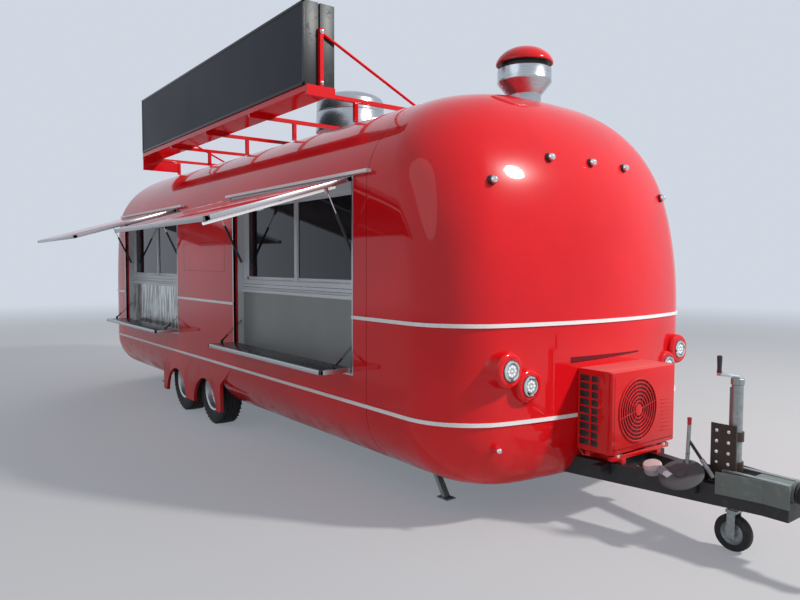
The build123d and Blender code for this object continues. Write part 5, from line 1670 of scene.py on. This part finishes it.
# %% Cover and plug holder
COVER = [(0, 0.0), (0.112, 0.0), (0.12, 0.003), (0.12, 0.008), (0.114, 0.0115), (0.096, 0.0125),
         (0.09, 0.0138), (0.02, 0.014), (0, 0.014)]
COVER_BOSS = [(0, 0.013), (0.03, 0.013), (0.03, 0.019), (0.024, 0.022), (0, 0.022)]
HOLDER = [(0, 0.0), (0.046, 0.0), (0.05, 0.012), (0.05, 0.03), (0.045, 0.036), (0, 0.036)]
HOLDER_LID = [(0, 0.034), (0.05, 0.034), (0.0515, 0.04), (0.0515, 0.05), (0.046, 0.057), (0.02, 0.06),
              (0, 0.06)]
PLUG_GREY = plastic("plug_grey", (0.3, 0.275, 0.32), 0.45)
LID_PINK = plastic("lid_pink", (0.56, 0.43, 0.43), 0.4)


def tipped(x, y, z, degrees):
    """A place tipped towards the service side."""
    return Matrix.Translation((x, y, z)) @ Matrix.Rotation(math.radians(degrees), 4, "X")


cover_at = tipped(-0.862, -0.172, up(BEAM_TOP) + 0.022, 30)
holder_at = tipped(-1.035, -0.165, up(BEAM_TOP) - 0.004, 18)
plug_z = up(BEAM_TOP + 0.026)
fittings = Piece("cover_and_plug_holder")
fittings.turned(COVER, COVER_RUBBER, cover_at, 56)
fittings.turned(COVER_BOSS, COVER_RUBBER, cover_at, 32)
fittings.turned(HOLDER, PLUG_GREY, holder_at, 40)
fittings.turned(HOLDER_LID, LID_PINK, holder_at, 40)
fittings.tube((-1.0, -0.172, plug_z), (-0.94, -0.196, plug_z - 0.012), 0.026, PLUG_GREY, 28, 0.005)
fittings.tube((-0.945, -0.194, plug_z - 0.011), (-0.905, -0.209, plug_z - 0.018), 0.0215, WHITE_FRAME,
              28, 0.004)
fittings.done("chassis_dark", ["drawbar_fittings"])

# %% [markdown]
# ## Bellows
# A folded rubber bellows keeps dirt off the sliding shaft behind the coupling head. One fold is
# five points, and the loop repeats them along the shaft before the whole line is turned at once.

# %% Bellows
BELLOWS_BACK = -0.338
BELLOWS_FRONT = -0.19
FOLDS = 8
FOLD = ((0.047, 0.12), (0.0545, 0.38), (0.056, 0.5), (0.0545, 0.62), (0.047, 0.88))
BELLOWS_END_R = 0.046
pitch = (BELLOWS_FRONT - BELLOWS_BACK) / FOLDS
fold_line = [(0, 0.0), (BELLOWS_END_R, 0.0)]
for i in range(FOLDS):
    fold_line += [(radius, pitch * (i + share)) for radius, share in FOLD]
fold_line += [(BELLOWS_END_R, pitch * FOLDS), (0, pitch * FOLDS)]
bellows = Piece("folded_bellows")
bellows.turned(fold_line, RUBBER, along("x", BELLOWS_BACK, 0, 0), 48)
bellows.done("bellows_rubber", ["coupling_bellows"])

# %% [markdown]
# ## Coupling housing
# The housing of the overrun brake is folded plate. A thin zinc strip lies along each of its upper
# edges, so they are lighter than the paint. Two painted cheeks close in on it from the drawbar,
# straight at first and then along the shaft, as two bars a side.

# %% Edges and cheeks of the housing
EDGE_HEIGHTS = (0.443, 0.447)
EDGE_REACH = 0.03
EDGE_FRONT_X = -0.35
CHEEK_TOP = 0.4425
CHEEK_LOW = 0.325
CHEEK_T = 0.007
CHEEK_Y = 0.0795
house_low, house_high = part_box("overrun_housing")
low, high = [up(height) for height in EDGE_HEIGHTS]
trim = Piece("housing_edge_and_bolts")
for y, way in ((house_low.y, -1), (house_high.y, 1)):
    trim.block((house_low.x, y + way * 0.001 if way < 0 else y - EDGE_REACH, low),
               (EDGE_FRONT_X, y + EDGE_REACH if way < 0 else y + 0.001, high), ZINC, 0.001)
trim.done("galvanised")
cheek_mid = up((CHEEK_TOP + CHEEK_LOW) / 2)
cheek_h = CHEEK_TOP - CHEEK_LOW
cheeks = Piece("coupling_cheeks")
for side in (1, -1):
    bend = (-0.475, side * CHEEK_Y, cheek_mid)
    for start, end in (((-0.7, side * 0.123, cheek_mid), bend), (bend, (-0.345, side * CHEEK_Y, cheek_mid))):
        cheeks.bar(start, end, CHEEK_T, cheek_h, HEAD_PAINT)
cheeks.done("chassis_dark")

# %% [markdown]
# ## Entrance door
# The door is cut from the wall and keeps its solid. Only a small round lock is added, which rides
# on the door and swings with it.

# %% Door lock
LOCK_X = -7.57
LOCK_Y = (1.199, 1.206)
lock = Piece("door_lock", "entrance_door")
lock.tube((LOCK_X, LOCK_Y[0], up(1.1)), (LOCK_X, LOCK_Y[1], up(1.1)), 0.014, CHROME, 24, 0.002)
lock.done("rod_bright")

# %% [markdown]
# ## Floor
# A studio floor has to keep the object's shadow and still end softly. Its shader is a matt pale
# grey, mixed with the plain background colour: a little of it everywhere, and all of it far away,
# so that no horizon shows. Only rays that are seen, straight, mirrored or through glass, get the
# mix, so the floor throws no extra light on the object.

# %% Floor
SEEN_COLOUR = (0.63, 0.68, 0.76)
FLOOR_HALF = 60
NEAR_SHARE = 0.3
FADE_FROM = 7
FADE_TO = 24


def seen_ray(tree):
    """1 for what the camera sees straight, mirrored or through glass."""
    kinds = ("Camera", "Glossy", "Transmission")
    rays = [tree.node("ShaderNodeLightPath", output=f"Is {kind} Ray") for kind in kinds]
    pair = rays[0].math("MAXIMUM", rays[0], rays[1])
    return pair.math("MAXIMUM", pair, rays[2])


pale = Finish("floor_pale")
pale.set(Base_Color=pale.mix(pale.noise(0.4, 2), (0.5, 0.5, 0.5), (0.53, 0.53, 0.53)), Roughness=0.9)
centre = (MID_X, 0, GROUND)
reach = pale.node("ShaderNodeVectorMath", {"operation": "DISTANCE"}, [pale.point(), centre], "Value")
share = seen_ray(pale) * (NEAR_SHARE + pale.ramp(reach, FADE_FROM, FADE_TO) * (1 - NEAR_SHARE))
glow = pale.node("ShaderNodeEmission", {}, {"Color": SEEN_COLOUR, "Strength": 1.0})
matt = Socket(pale, pale.shader.outputs[0])
surface = pale.node("ShaderNodeMixShader", {}, [share, matt, glow])
pale.feed(pale.tree.nodes["Material Output"].inputs["Surface"], surface)
floor_shape = bmesh.new()
bmesh.ops.create_grid(floor_shape, x_segments=1, y_segments=1, size=FLOOR_HALF)
bmesh.ops.translate(floor_shape, vec=(-4, 0, GROUND - 0.0005), verts=floor_shape.verts)
floor_mesh = bpy.data.meshes.new("studio_floor")
floor_shape.to_mesh(floor_mesh)
floor_shape.free()
floor_mesh.materials.append(pale.made)
studio_floor = bpy.data.objects.new("studio_floor", floor_mesh)
bpy.context.scene.collection.objects.link(studio_floor)
print("floor fades from", FADE_FROM, "to", FADE_TO, "m")

# %% [markdown]
# ## Lights
# The photograph is lit by the sun from the front left. A key light at that height and side puts
# its small highlight at the same place on the nose. A wide weak one fills the service side, and
# one from behind lifts the roof; it is kept out of reflections, since it would draw a white line
# along the roof's edge.


# %% Lights
def area_light(name, place, aim, size, power, colour=(1, 1, 1)):
    """A round area light that looks at a point."""
    data = bpy.data.lights.new(name, "AREA")
    data.shape = "DISK"
    data.size = size
    data.energy = power
    data.color = colour
    lamp = bpy.data.objects.new(name, data)
    lamp.location = place
    lamp.rotation_mode = "QUATERNION"
    lamp.rotation_quaternion = (Vector(aim) - Vector(place)).to_track_quat("-Z", "Y")
    bpy.context.scene.collection.objects.link(lamp)
    return lamp


lights = [
    area_light("key_light", (6.14, 5.17, 9.35), (-3, 0, 0.5), 1.1, 1700, (1, 0.97, 0.93)),
    area_light("service_light", (-2.5, -9.5, 6), (-4, 0, 0.6), 7, 95, (0.9, 0.95, 1)),
    area_light("back_light", (-13, 4, 6), (-6, 0, 1), 5, 200),
]
lights[2].visible_glossy = False
print(len(lights), "lights")

# %% [markdown]
# ## Surround
# The world does two jobs: it lights the shadows with a weak, cool sky, and it is the background
# that camera, metal and glass see. One Background node for each, mixed by the same test of the
# rays as in the floor, keeps the second from lighting the first.

# %% Surround
SKY_COLOUR = (0.93, 0.95, 1)
SKY_STRENGTH = 0.34
world = bpy.data.worlds.new("surround")
world.use_nodes = True
bpy.context.scene.world = world
world.node_tree.nodes.clear()
around = Nodes(world.node_tree)
sky = around.node("ShaderNodeBackground", {}, {"Color": SKY_COLOUR, "Strength": SKY_STRENGTH})
seen = around.node("ShaderNodeBackground", {}, {"Color": SEEN_COLOUR, "Strength": 1.0})
blend = around.node("ShaderNodeMixShader", {}, [seen_ray(around), sky, seen])
world_out = around.tree.nodes.new("ShaderNodeOutputWorld")
around.feed(world_out.inputs["Surface"], blend)
print(len(around.tree.nodes), "nodes light the world")
